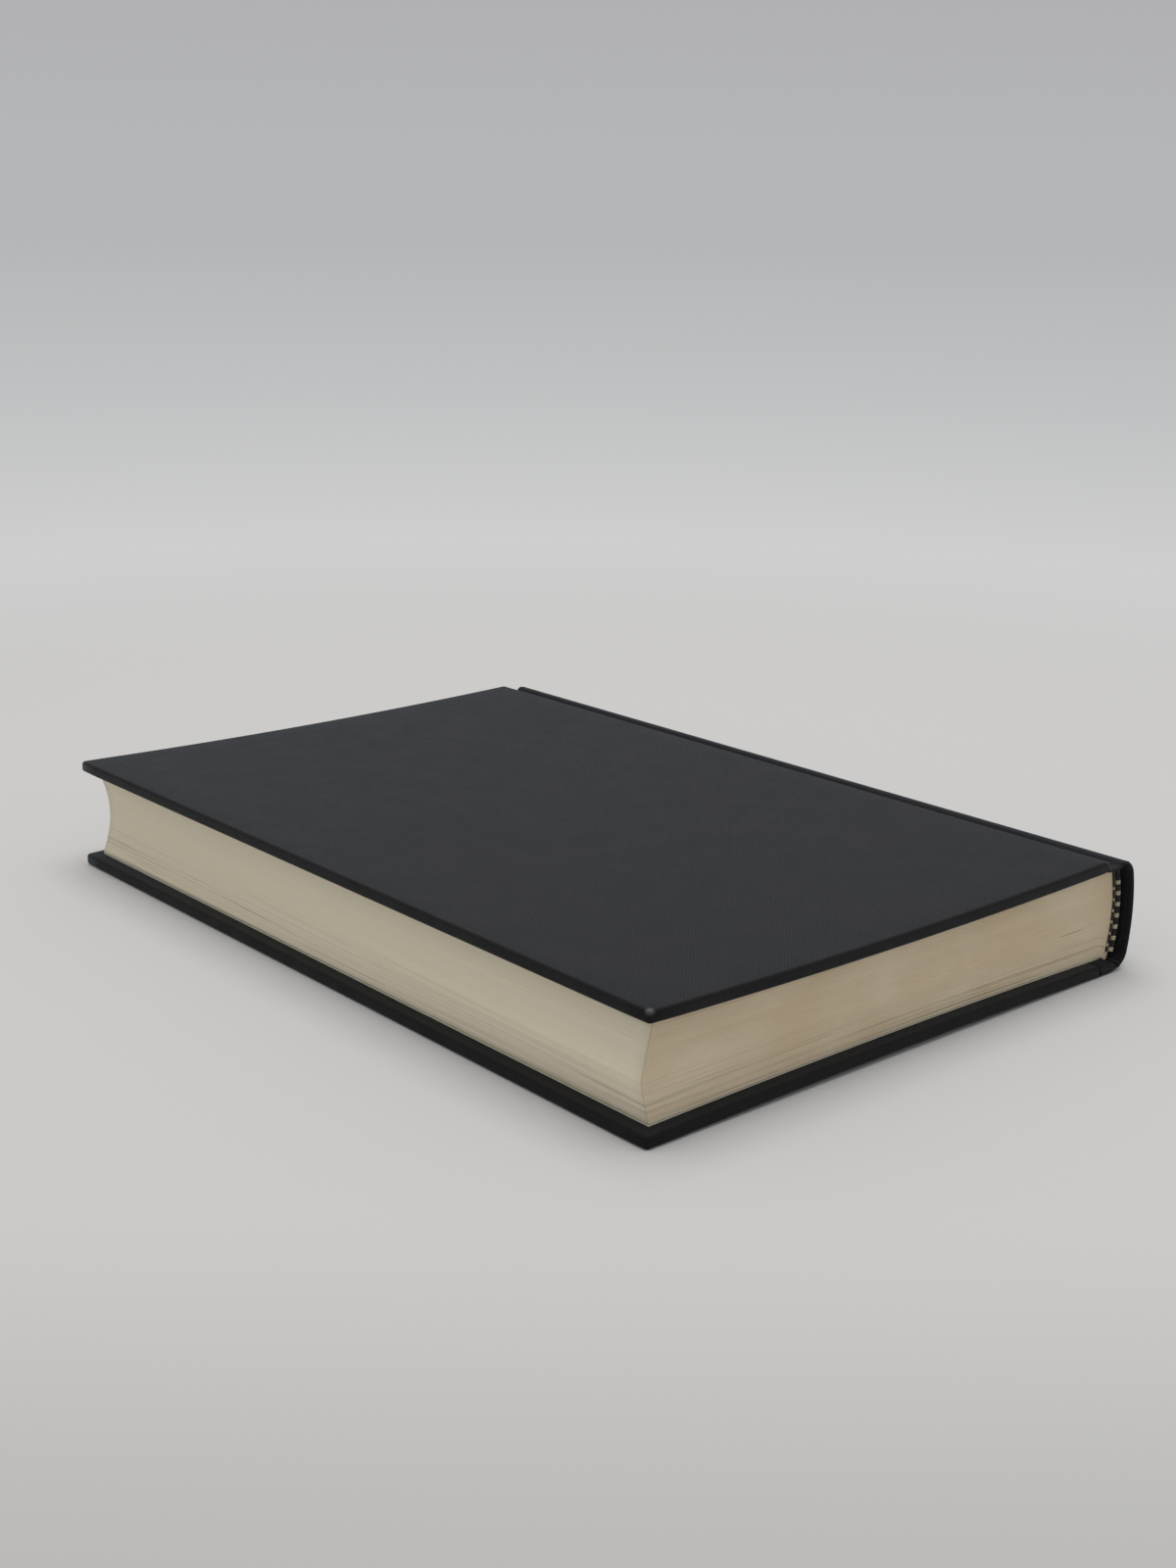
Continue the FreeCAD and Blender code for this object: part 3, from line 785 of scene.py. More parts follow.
def band_path(inside, lift, end):
    """Line along the back of the leaves, above their head or below their tail."""
    radius = BACK_RADIUS - inside
    sweep = math.asin((BEAD_HALF_SPAN - WRAP / 2) / radius)
    y = end * (HALF_BLOCK + lift)
    turns = np.linspace(-sweep, sweep, PATH_POINTS)
    return [(BACK_X - radius * math.cos(t), y, MIDDLE + radius * math.sin(t)) for t in turns]


def band_tape(end):
    """The band's tape, a thin curved sheet glued to the back of the leaves."""
    tilt = BACK_TILT - TAPE_SHORT_DEG
    run = [bend(BACK_X, MIDDLE, BACK_RADIUS, 180 + tilt, 180 - tilt)]
    inner, outer = HALF_COVER - TAPE_END, HALF_BLOCK + BEAD_RADIUS
    section = ((0, inner), (MULL, inner), (MULL, outer), (0, outer))
    rows = []
    for share in np.linspace(0, 1, TAPE_ROWS):
        x, z, nx, nz = walk(run, share)
        rows.append([(x + nx * depth, end * y, z + nz * depth) for depth, y in section])
    points, faces = strip_from(rows)
    tape = new_piece("band_tape", points, faces, smooth=False)
    outward(tape)
    tape.data.materials.append(black_cotton)
    return tape


def join(name, parts):
    """Join pieces into the first one, under one name."""
    with bpy.context.temp_override(
        active_object=parts[0], object=parts[0], selected_objects=parts, selected_editable_objects=parts
    ):
        bpy.ops.object.join()
    parts[0].name = name
    parts[0].data.name = name
    return parts[0]


# Each row of wraps: its name, distance inside the back, radius, cream wraps, first wrap and slant.
WRAP_ROWS = (
    ("_bead", BEAD_INSIDE, CORD_RADIUS, 3, 0, math.radians(9)),
    ("_base", BEAD_INSIDE + BASE_OFFSET, BASE_RADIUS, 2, 4, math.radians(-14)),
)

for node_name, end in (("headband", 1), ("tailband", -1)):
    parts = []
    for row, inside, radius, cream_wraps, first_wrap, slant in WRAP_ROWS:
        cord = wrapped(
            node_name + row, band_path(inside, radius, end), Thread_thickness=WRAP * MM,
            Core_radius=radius * MM, Wraps_per_repeat=WRAPS_PER_REPEAT, Cream_wraps=cream_wraps,
            Cream_stripes=CREAM_STRIPES, First_wrap=first_wrap, Slant=slant
        )
        parts.append(cord)
    band = join(node_name + "_threads", [*parts, band_tape(end)])
    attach(band, "text_block")
    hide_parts(node_name)


# Boards and spine inlay.
# Grey board, pulped from waste paper and rolled, stiffens the covers; a strip of thinner card stiffens
# the spine. Their corners are knocked round before the cloth goes on, and the cloth hides them.

EDGE_RADIUS = 0.9
CORNER_RADIUS = 1.7
SPINE_DEPTH = 5.5
SPINE_SHOULDER = 4.5
INLAY = 0.8
INLAY_START_DEG = 25.0
INLAY_STEP = 0.8
SPINE_SETTLE = 0.6
JOINT_SETTLE = 2.2
JOINT_RAMP = 0.8
JOINT_RUN_OUT = HALF_COVER - 0.5
SETTLED_BELOW = 4.0
ROUND_STEPS = 4
BOARD_STEPS = (6.0, 12.0, 1.3)
SHOULDER_Z = CREST - SPINE_SHOULDER
SHOULDER_RISE = SHOULDER_Z - MIDDLE
SPINE_RADIUS = (
    (SHOULDER_RISE ** 2 + SPINE_DEPTH ** 2 - SPINE_SHOULDER ** 2) / (2 * (SPINE_DEPTH - SPINE_SHOULDER))
)
SPINE_X = CREST_X - SPINE_DEPTH + SPINE_RADIUS
SPINE_TILT = math.degrees(math.asin(SHOULDER_RISE / (SPINE_RADIUS - SPINE_SHOULDER)))
FLANK_FOOT_X = CREST_X + (CREST_RADIUS + FLANK_RADIUS) * math.cos(math.radians(FLANK_TILT))
FLECK_MM = 0.8


# Board rolled from waste paper: dull grey, with flecks of fibre and old print.
def pulp_board(name, dark, light):
    return fibrous(name, dark, light, FLECK_MM, 5.0, Roughness=0.92, IOR=1.45)


def edge_lines(low, high, radius, stops, step):
    """Grid lines along one side of a rounded box: close over the rounds, evenly spaced between them."""
    slopes = [math.radians(45 * n / ROUND_STEPS) for n in range(ROUND_STEPS + 1)]
    rounds = [radius * (1 - math.tan(slope)) for slope in slopes]
    lines = {round(low + r, 6) for r in rounds} | {round(high - r, 6) for r in rounds}
    knots = sorted([low + radius, *stops, high - radius])
    for a, b in zip(knots, knots[1:]):
        pieces = max(1, round((b - a) / step))
        lines |= {round(a + (b - a) * n / pieces, 6) for n in range(pieces + 1)}
    return sorted(lines)


def rounded(point, low, high, radius):
    """Point of a box moved onto the same box with rounded edges."""
    inner = [min(max(c, a + radius), b - radius) for c, a, b in zip(point, low, high)]
    away = [c - i for c, i in zip(point, inner)]
    length = math.sqrt(sum(c * c for c in away))
    return [i + c * radius / length for i, c in zip(inner, away)]


def soften_corner(x, y, depth):
    """Draw the square fore-edge corners of a plan in to a round, at a depth under the cloth."""
    radius = CORNER_RADIUS - depth
    centre_x, centre_y = FORE_EDGE - CORNER_RADIUS, HALF_COVER - CORNER_RADIUS
    a, b = x - centre_x, abs(y) - centre_y
    if a <= 0 or b <= 0:
        return x, y
    shrink = min(1, max(a, b) / radius) * radius / math.hypot(a, b)
    return centre_x + a * shrink, math.copysign(centre_y + b * shrink, y)


def plate_lattice(low, high, radius, stops):
    """Nominal corners, faces and each face's side for a rounded plate."""
    lines = [edge_lines(*span, radius, *rest) for span, rest in zip(zip(low, high), stops)]
    lattice, faces, sides = shell_of_cells([len(row) - 1 for row in lines])
    nominal = [[lines[axis][n] for axis, n in enumerate(corner)] for corner in lattice]
    return nominal, faces, sides


def plate_points(side, nominal, low, high, radius, depth):
    """Corners of a plate moved onto its rounded and warped form, at a depth under the cloth."""
    points = []
    for corner in nominal:
        x, y, z = rounded(corner, low, high, radius)
        x, y = soften_corner(x, y, depth)
        points.append((x, y, height(side, x, z)))
    return points


grey_board = pulp_board("grey_board_rolled", "#8a857b", "#a8a296")


def board(side):
    """One cover's board, rounded at its edges and as warped as its cover."""
    low = (BOARD_SIDE + CLOTH, CLOTH - HALF_COVER, THICKNESS - CLOTH - BOARD)
    high = (FORE_EDGE - CLOTH, HALF_COVER - CLOTH, THICKNESS - CLOTH)
    radius = EDGE_RADIUS - CLOTH
    nominal, faces, sides = plate_lattice(low, high, radius, [([], step) for step in BOARD_STEPS])
    points = plate_points(side, nominal, low, high, radius, CLOTH)
    outside = faces if side == "front" else [ring[::-1] for ring in faces]
    piece = new_piece(side + "_grey_board", points, outside)
    piece.data.materials.append(grey_board)
    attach(piece, side + "_cover")
    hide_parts(side + "_board")


board("front")
board("back")


def samples(run, step):
    """Distance, point and outward normal at even steps along each stretch of a run."""
    made, start = [], 0.0
    for length, at in run:
        pieces = max(2, math.ceil(length / step))
        for n in range(pieces + 1):
            if n or not made:
                made.append((start + length * n / pieces, *at(n / pieces)))
        start += length
    return made


def smooth_step(value, start, end):
    """Soft step from 0 at start to 1 at end."""
    share = min(max((value - start) / (end - start), 0), 1)
    return share * share * (3 - 2 * share)


def settled(x, y, z, skin=0.0):
    """Height of a point of the spine, whose back shoulder has sunk to the table under the book's weight.

    The back joint runs out at head and tail, where no leaves hold its skin up; skin is 1 on the outside.
    """
    crest = SPINE_SETTLE * smooth_step(x, FLANK_FOOT_X, CREST_X)
    joint = JOINT_SETTLE * smooth_step(x, BOARD_SIDE, BOARD_SIDE - JOINT_RAMP)
    joint *= smooth_step(x, CREST_X, FLANK_FOOT_X)
    joint *= skin * smooth_step(abs(y), HALF_BLOCK, JOINT_RUN_OUT)
    return z - smooth_step(z, MIDDLE, SETTLED_BELOW) * (crest + joint)


spine_round = [bend(SPINE_X, MIDDLE, SPINE_RADIUS, 180 - SPINE_TILT, 180 + SPINE_TILT)]


def spine_inlay():
    """Card strip between the shoulders, under the cloth."""
    shoulder = [bend(CREST_X, SHOULDER_Z, SPINE_SHOULDER, 90 + INLAY_START_DEG, 180 - SPINE_TILT)]
    rows = []
    for distance, x, z, nx, nz in samples(shoulder + spine_round + upside_down(shoulder), INLAY_STEP):
        loop = []
        for depth, end in ((CLOTH, -1), (CLOTH, 1), (CLOTH + INLAY, 1), (CLOTH + INLAY, -1)):
            px, pz = x - nx * depth, z - nz * depth
            loop.append((px, end * (HALF_COVER - CLOTH), settled(px, HALF_COVER, pz)))
        rows.append(loop)
    points, faces = strip_from(rows)
    piece = new_piece("spine_card", points, faces, smooth=False)
    outward(piece)
    piece.data.materials.append(pulp_board("inlay_card", "#9b9484", "#bcb5a4"))
    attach(piece, "text_block")
    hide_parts("spine_inlay")


spine_inlay()


# Cloth of the case.
# One piece of black cotton cloth, filled with starch and pressed, is glued over both boards and the
# spine, and folded in over their edges. It is split where the covers turn: at each joint a strip of its
# own bends between the spine and the board.

TURN_IN = 15.0
CLOTH_WARM = "#18171a"
CLOTH_COOL = "#13171a"
# Painted shade on the cover's sides and rounded edges.
CLOTH_EDGE_SHADE = "#0b0a09"
# Colour of the corner's wear and of the pale back-edge line, which is partly a painted highlight.
CLOTH_WEAR_AND_HIGHLIGHT = "#8d8b86"
CLOTH_SHEEN = "#b2bfce"
THREAD_PITCH = 0.5
SLUB_STRETCH = 0.07
PATCH_MM = 9.0
CLOUD_MM = 38.0
EDGE_SHADE = (1.2, 0.2)
WEAR_PLACE = (FORE_EDGE - 0.9, HALF_COVER - 0.9, THICKNESS - 0.2)
WEAR_FADE = (1.9, 0.4)
WEAR_SHARE = 0.42
WEAR_FRAY_MM = 0.5
# Pale line on the back edge of the board: partly wear from rubbing, partly a painted highlight.
RUB_AND_HIGHLIGHT_X = BOARD_SIDE + 0.5
RUB_AND_HIGHLIGHT_FADE = (0.6, 0.2)
RUB_AND_HIGHLIGHT_SHARE = (0.02, 0.14)
RUB_AND_HIGHLIGHT_PATCH_MM = 7.0
CLOTH_STEPS = (6.0, 7.0, 0.7)


# Filled cotton cloth: nearly black and matt, with a low sheen at flat angles. The filler half hides a
# plain weave, whose threads are drawn about as coarse as the slubs that show. Painted shade darkens the
# hollows between the threads and the cover's sides and rounded edges; a pale line on the back edge of the
# board is partly wear from rubbing and partly a painted highlight.
def book_cloth():
    material = new_material("filled_cotton_book_cloth")
    tree = material.node_tree
    unrolled = add(tree, "ShaderNodeUVMap", uv_map="cloth").outputs[0]
    unrolled = add(tree, "ShaderNodeVectorMath", {0: unrolled, 3: 1 / MM}, operation="SCALE").outputs[0]
    parts = add(tree, "ShaderNodeSeparateXYZ", {0: unrolled}).outputs
    rounds = []
    for part in ("X", "Y"):
        turn = add(
            tree, "ShaderNodeMath", {0: parts[part], 1: math.pi / THREAD_PITCH}, operation="MULTIPLY"
        ).outputs[0]
        turn = add(tree, "ShaderNodeMath", {0: turn}, operation="SINE").outputs[0]
        rounds.append(add(tree, "ShaderNodeMath", {0: turn}, operation="ABSOLUTE").outputs[0])
    over = add(tree, "ShaderNodeTexChecker", {"Vector": unrolled, "Scale": 1 / THREAD_PITCH}).outputs["Fac"]
    under = add(tree, "ShaderNodeMath", {0: 1.0, 1: over}, operation="SUBTRACT").outputs[0]
    weave = add(tree, "ShaderNodeMath", {0: rounds[0], 1: over}, operation="MULTIPLY").outputs[0]
    weave = add(
        tree, "ShaderNodeMath", {0: rounds[1], 1: under, 2: weave}, operation="MULTIPLY_ADD"
    ).outputs[0]
    slub_u = add(
        tree, "ShaderNodeVectorMath", {0: unrolled, 1: (SLUB_STRETCH, 1, 1)}, operation="MULTIPLY"
    ).outputs[0]
    slub_u = add(
        tree, "ShaderNodeTexNoise",
        {"Vector": slub_u, "Scale": 1 / THREAD_PITCH, "Detail": 2.0, "Roughness": GRAIN_ROUGHNESS}
    ).outputs["Fac"]
    slub_v = add(
        tree, "ShaderNodeVectorMath", {0: unrolled, 1: (1, SLUB_STRETCH, 1)}, operation="MULTIPLY"
    ).outputs[0]
    slub_v = add(
        tree, "ShaderNodeTexNoise",
        {"Vector": slub_v, "Scale": 1 / THREAD_PITCH, "Detail": 2.0, "Roughness": GRAIN_ROUGHNESS}
    ).outputs["Fac"]
    slubs = add(tree, "ShaderNodeMath", {0: slub_u, 1: slub_v}, operation="ADD").outputs[0]
    place = position(tree)
    spot = add(tree, "ShaderNodeSeparateXYZ", {0: place}).outputs
    patches = add(
        tree, "ShaderNodeTexNoise",
        {"Vector": place, "Scale": 1 / PATCH_MM, "Detail": 4.0, "Roughness": GRAIN_ROUGHNESS}
    ).outputs["Fac"]
    clouds = add(
        tree, "ShaderNodeTexNoise",
        {"Vector": place, "Scale": 1 / CLOUD_MM, "Detail": 2.0, "Roughness": GRAIN_ROUGHNESS}
    ).outputs["Fac"]
    clouds = add(tree, "ShaderNodeMath", {0: clouds, 1: 0.5}, operation="MULTIPLY").outputs[0]
    clouds = add(
        tree, "ShaderNodeMath", {0: patches, 1: 0.5, 2: clouds}, operation="MULTIPLY_ADD"
    ).outputs[0]
    cool = add(
        tree, "ShaderNodeMapRange", {"Value": clouds, "From Min": 0.4, "From Max": 0.6},
        interpolation_type="SMOOTHSTEP"
    ).outputs["Result"]
    colour = add(
        tree, "ShaderNodeMix", {0: cool, 6: linear(CLOTH_WARM), 7: linear(CLOTH_COOL)}, data_type="RGBA"
    ).outputs[2]
    threads = add(
        tree, "ShaderNodeMapRange",
        {"Value": slubs, "From Min": 0.75, "From Max": 1.3, "To Min": 0.75, "To Max": 1.25},
        interpolation_type="SMOOTHSTEP"
    ).outputs["Result"]
    shade = add(
        tree, "ShaderNodeMapRange",
        {"Value": patches, "From Min": 0.3, "From Max": 0.7, "To Min": 0.85, "To Max": 1.15},
        interpolation_type="SMOOTHSTEP"
    ).outputs["Result"]
    shade = add(tree, "ShaderNodeMath", {0: threads, 1: shade}, operation="MULTIPLY").outputs[0]
    # Painted shade: the colour darkens in the hollows between the weave's threads and is lighter on their
    # crowns.
    weave_shade = add(
        tree, "ShaderNodeMath", {0: weave, 1: 0.2, 2: 0.88}, operation="MULTIPLY_ADD"
    ).outputs[0]
    shade = add(tree, "ShaderNodeMath", {0: shade, 1: weave_shade}, operation="MULTIPLY").outputs[0]
    colour = add(tree, "ShaderNodeVectorMath", {0: colour, 3: shade}, operation="SCALE").outputs[0]
    near = add(
        tree, "ShaderNodeVectorMath", {0: place, 1: WEAR_PLACE}, operation="DISTANCE"
    ).outputs["Value"]
    frayed = add(
        tree, "ShaderNodeTexNoise",
        {"Vector": place, "Scale": 1 / WEAR_FRAY_MM, "Detail": 3.0, "Roughness": GRAIN_ROUGHNESS}
    ).outputs["Fac"]
    frayed = add(
        tree, "ShaderNodeMath", {0: frayed, 1: 0.9, 2: near}, operation="MULTIPLY_ADD"
    ).outputs[0]
    wear_and_highlight = add(
        tree, "ShaderNodeMapRange",
        {"Value": frayed, "From Min": WEAR_FADE[0], "From Max": WEAR_FADE[1], "To Max": WEAR_SHARE},
        interpolation_type="SMOOTHSTEP"
    ).outputs["Result"]
    # Pale line along the back edge of the board, on top: partly wear from rubbing, partly a painted
    # highlight where light catches the rounded edge.
    from_line = add(tree, "ShaderNodeMath", {0: spot["X"], 1: RUB_AND_HIGHLIGHT_X}, operation="SUBTRACT").outputs[0]
    from_line = add(tree, "ShaderNodeMath", {0: from_line}, operation="ABSOLUTE").outputs[0]
    on_top = add(
        tree, "ShaderNodeMapRange", {"Value": spot["Z"], "From Min": CREST, "From Max": THICKNESS - 0.5},
        interpolation_type="SMOOTHSTEP"
    ).outputs["Result"]
    on_line = add(
        tree, "ShaderNodeMapRange",
        {"Value": from_line, "From Min": RUB_AND_HIGHLIGHT_FADE[0], "From Max": RUB_AND_HIGHLIGHT_FADE[1]},
        interpolation_type="SMOOTHSTEP"
    ).outputs["Result"]
    on_line = add(tree, "ShaderNodeMath", {0: on_line, 1: on_top}, operation="MULTIPLY").outputs[0]
    rub_and_highlight = add(
        tree, "ShaderNodeTexNoise",
        {"Vector": place, "Scale": 1 / RUB_AND_HIGHLIGHT_PATCH_MM, "Detail": 3.0, "Roughness": GRAIN_ROUGHNESS}
    ).outputs["Fac"]
    rub_and_highlight = add(
        tree, "ShaderNodeMapRange",
        {
            "Value": rub_and_highlight, "From Min": 0.35, "From Max": 0.65,
            "To Min": RUB_AND_HIGHLIGHT_SHARE[0], "To Max": RUB_AND_HIGHLIGHT_SHARE[1],
        },
        interpolation_type="SMOOTHSTEP"
    ).outputs["Result"]
    rub_and_highlight = add(tree, "ShaderNodeMath", {0: on_line, 1: rub_and_highlight}, operation="MULTIPLY").outputs[0]
    # Painted shade: the cover's sides and rounded edges turn near black, as little light falls on them.
    side_x = add(
        tree, "ShaderNodeMapRange",
        {"Value": spot["X"], "From Min": FORE_EDGE - EDGE_SHADE[0], "From Max": FORE_EDGE - EDGE_SHADE[1]},
        interpolation_type="SMOOTHSTEP"
    ).outputs["Result"]
    side_y = add(tree, "ShaderNodeMath", {0: spot["Y"]}, operation="ABSOLUTE").outputs[0]
    side_y = add(
        tree, "ShaderNodeMapRange",
        {"Value": side_y, "From Min": HALF_COVER - EDGE_SHADE[0], "From Max": HALF_COVER - EDGE_SHADE[1]},
        interpolation_type="SMOOTHSTEP"
    ).outputs["Result"]
    painted_edge_shade = add(tree, "ShaderNodeMath", {0: side_x, 1: side_y}, operation="MAXIMUM").outputs[0]
    painted_edge_shade = add(tree, "ShaderNodeMath", {0: painted_edge_shade, 1: 0.9}, operation="MULTIPLY").outputs[0]
    colour = add(
        tree, "ShaderNodeMix", {0: painted_edge_shade, 6: colour, 7: linear(CLOTH_EDGE_SHADE)}, data_type="RGBA"
    ).outputs[2]
    # The corner's wear and the pale back-edge line, partly a painted highlight, share one colour.
    wear_and_highlight = add(tree, "ShaderNodeMath", {0: wear_and_highlight, 1: rub_and_highlight}, operation="MAXIMUM").outputs[0]
    colour = add(
        tree, "ShaderNodeMix", {0: wear_and_highlight, 6: colour, 7: linear(CLOTH_WEAR_AND_HIGHLIGHT)}, data_type="RGBA"
    ).outputs[2]
    roughness = add(
        tree, "ShaderNodeMapRange",
        {"Value": patches, "From Min": 0.3, "From Max": 0.7, "To Min": 0.4, "To Max": 0.48},
        interpolation_type="SMOOTHSTEP"
    ).outputs["Result"]
    roughness = add(
        tree, "ShaderNodeMath", {0: slubs, 1: 0.14, 2: roughness}, operation="MULTIPLY_ADD"
    ).outputs[0]
    relief = add(
        tree, "ShaderNodeMath", {0: slubs, 1: 0.6, 2: weave}, operation="MULTIPLY_ADD"
    ).outputs[0]
    return finish_material(
        material, colour, relief, 0.035, Roughness=roughness, IOR=1.5, Specular_IOR_Level=0.2,
        Sheen_Weight=0.2, Sheen_Roughness=0.3, Sheen_Tint=linear(CLOTH_SHEEN)
    )


cloth = book_cloth()


def cover_cloth(side):
    """Cloth round one board, with the window that the turned-in edges leave on the inside."""
    low = (BOARD_SIDE, -HALF_COVER, TURN_IN_FACE)
    high = (FORE_EDGE, HALF_COVER, THICKNESS)
    window_x = FORE_EDGE - TURN_IN
    window_y = HALF_COVER - TURN_IN
    stops = zip(([window_x], [-window_y, window_y], []), CLOTH_STEPS)
    nominal, faces, sides = plate_lattice(low, high, EDGE_RADIUS, stops)
    kept, unrolled = [], []
    for ring, (axis, end) in zip(faces, sides):
        centre = [sum(nominal[n][a] for n in ring) / 4 for a in range(3)]
        if axis == 2 and end < 0 and centre[0] < window_x and abs(centre[1]) < window_y:
            continue
        kept.append(ring if side == "front" else ring[::-1])
        for n in kept[-1]:
            x, y, z = nominal[n]
            drop = high[2] - z if axis != 2 else 0
            unrolled.append((x + end * drop if axis == 0 else x, y + end * drop if axis == 1 else y))
    points = plate_points(side, nominal, low, high, EDGE_RADIUS, 0)
    used = sorted({n for ring in kept for n in ring})
    renumbered = {n: m for m, n in enumerate(used)}
    rings = [[renumbered[n] for n in ring] for ring in kept]
    piece = new_piece(side + "_cloth", [points[n] for n in used], rings)
    uv = piece.data.uv_layers.new(name="cloth")
    uv.data.foreach_set("uv", [c * MM for pair in unrolled for c in pair])
    thickness = piece.modifiers.new("cloth_thickness", "SOLIDIFY")
    thickness.thickness = CLOTH * MM
    thickness.offset = -1
    piece.data.materials.append(cloth)
    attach(piece, side + "_cover")
    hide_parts(side + "_cover_cloth")


cover_cloth("front")
cover_cloth("back")

FOOT_RADIUS = 0.8
END_CELLS = 5
BAND_ROWS = 35
BAND_END_RADIUS = 0.75
TURN_IN_BEVEL = 0.4
CARD_RAMP = 0.6
SPINE_STEP = 0.7
SPINE_START_U = BOARD_SIDE - 10


def folded_band(name, run, step, end_depth, start_u):
    """Cloth that follows a run from tail to head, folded in over itself at both ends.

    end_depth(distance) is how thick the folded ends are there; start_u is where the run starts on the
    unrolled cloth.
    """
    sections, unrolled = [], []
    window = HALF_COVER - TURN_IN
    for distance, x, z, nx, nz in samples(run, step):
        deep = end_depth(distance)
        radius = min(deep / 2, BAND_END_RADIUS)
        flat = HALF_COVER - radius
        skin = [(0.0, y) for y in np.linspace(-flat, flat, BAND_ROWS)]
        head = []
        for n in range(1, 2 * END_CELLS):
            turn = math.pi * n / (2 * END_CELLS)
            head.append((deep / 2 - deep / 2 * math.cos(turn), flat + radius * math.sin(turn)))
        head += [(deep, flat), (deep, window + 1), (deep, window), (CLOTH, window - TURN_IN_BEVEL)]
        loop = skin + head + [(depth, -y) for depth, y in reversed(head)]
        section = []
        for depth, y in loop:
            px, pz = x - nx * depth, z - nz * depth
            section.append((px, y, settled(px, y, pz, 1 - depth / deep)))
        sections.append(section)
        unrolled.append([(start_u - distance, y) for depth, y in loop])
    points, faces = strip_from(sections)
    flat_uv = [pair for row in unrolled for pair in row]
    piece = new_piece(name, points, faces)
    outward(piece)
    uv = piece.data.uv_layers.new(name="cloth")
    for corner in piece.data.loops:
        u, v = flat_uv[corner.vertex_index]
        uv.data[corner.index].uv = (u * MM, v * MM)
    piece.data.materials.append(cloth)
    return piece


def spine_cloth():
    """Cloth round the spine, from crest to crest, folded in over the card at head and tail."""
    crest = [bend(CREST_X, CREST_Z, CREST_RADIUS, FLANK_TILT, 90)]
    shoulder = [bend(CREST_X, SHOULDER_Z, SPINE_SHOULDER, 90, 180 - SPINE_TILT)]
    run = crest + shoulder + spine_round + upside_down(crest + shoulder)
    total = sum(length for length, at in run)
    card = crest[0][0] + math.radians(INLAY_START_DEG) * SPINE_SHOULDER

    def thick(distance):
        past = min(distance, total - distance) - card
        return 2 * CLOTH + INLAY * smooth_step(past, -CARD_RAMP, CARD_RAMP)

    piece = folded_band("spine_cloth_skin", run, SPINE_STEP, thick, SPINE_START_U)
    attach(piece, "text_block")
    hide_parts("spine_cloth")


spine_cloth()

JOINT_LIFT = 0.02
JOINT_CLIMB = 1.3
JOINT_LAP_DEG = 75
JOINT_STEP = 0.25
JOINT_START_U = BOARD_SIDE - 2


def joint_cloth(side):
    """Cloth in the groove between shoulder and board."""
    wall_x, foot_x = BOARD_SIDE - JOINT_LIFT, BOARD_SIDE - FOOT_RADIUS
    floor_z, foot_z = GROOVE_FLOOR + JOINT_LIFT, GROOVE_FLOOR + FOOT_RADIUS
    run = [
        straight(wall_x, foot_z + JOINT_CLIMB, wall_x, foot_z),
        bend(foot_x, foot_z, -FOOT_RADIUS + JOINT_LIFT, 180, 90),
        straight(foot_x, floor_z, FLANK_FOOT_X, floor_z),
        bend(FLANK_FOOT_X, GROOVE_FLOOR + FLANK_RADIUS, -FLANK_RADIUS + JOINT_LIFT, 90, FLANK_TILT),
        bend(CREST_X, CREST_Z, CREST_RADIUS + JOINT_LIFT, FLANK_TILT, JOINT_LAP_DEG),
    ]
    if side == "back":
        run = upside_down(run)
    piece = folded_band(side + "_joint_cloth", run, JOINT_STEP, lambda distance: 2 * CLOTH, JOINT_START_U)
    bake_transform(piece)


joint_cloth("front")
joint_cloth("back")


# Floor and light.
# A pale paper sweep that fades into its own background, under soft light from all round and from a large
# lamp above the book, a little to the side of its spine and tail. The floor is darkened with painted shade
# towards the camera, and beyond the book it glows with painted light that darkens with distance.

FLOOR_SIZE = 40.0
FLOOR_PAPER = "#cac9c7"
# Painted shade on the floor's side towards the camera.
FLOOR_NEAR_SHADE = "#bab9b7"
FADE_START = 0.3
FADE_END = 0.65
FADE_REACH = 0.53
# Tones of the far floor, which glows with painted light that darkens with distance; the last is also the
# backdrop's.
FAR_TONES = ((0.65, "#cecece"), (1.6, "#c0c1c2"), (3.9, "#b9babb"), (8.4, "#b5b6b8"))
CAMERA_AZIMUTH = math.radians(48.918)
NEAR_SHADE_START = 0.17
NEAR_SHADE_END = 0.3


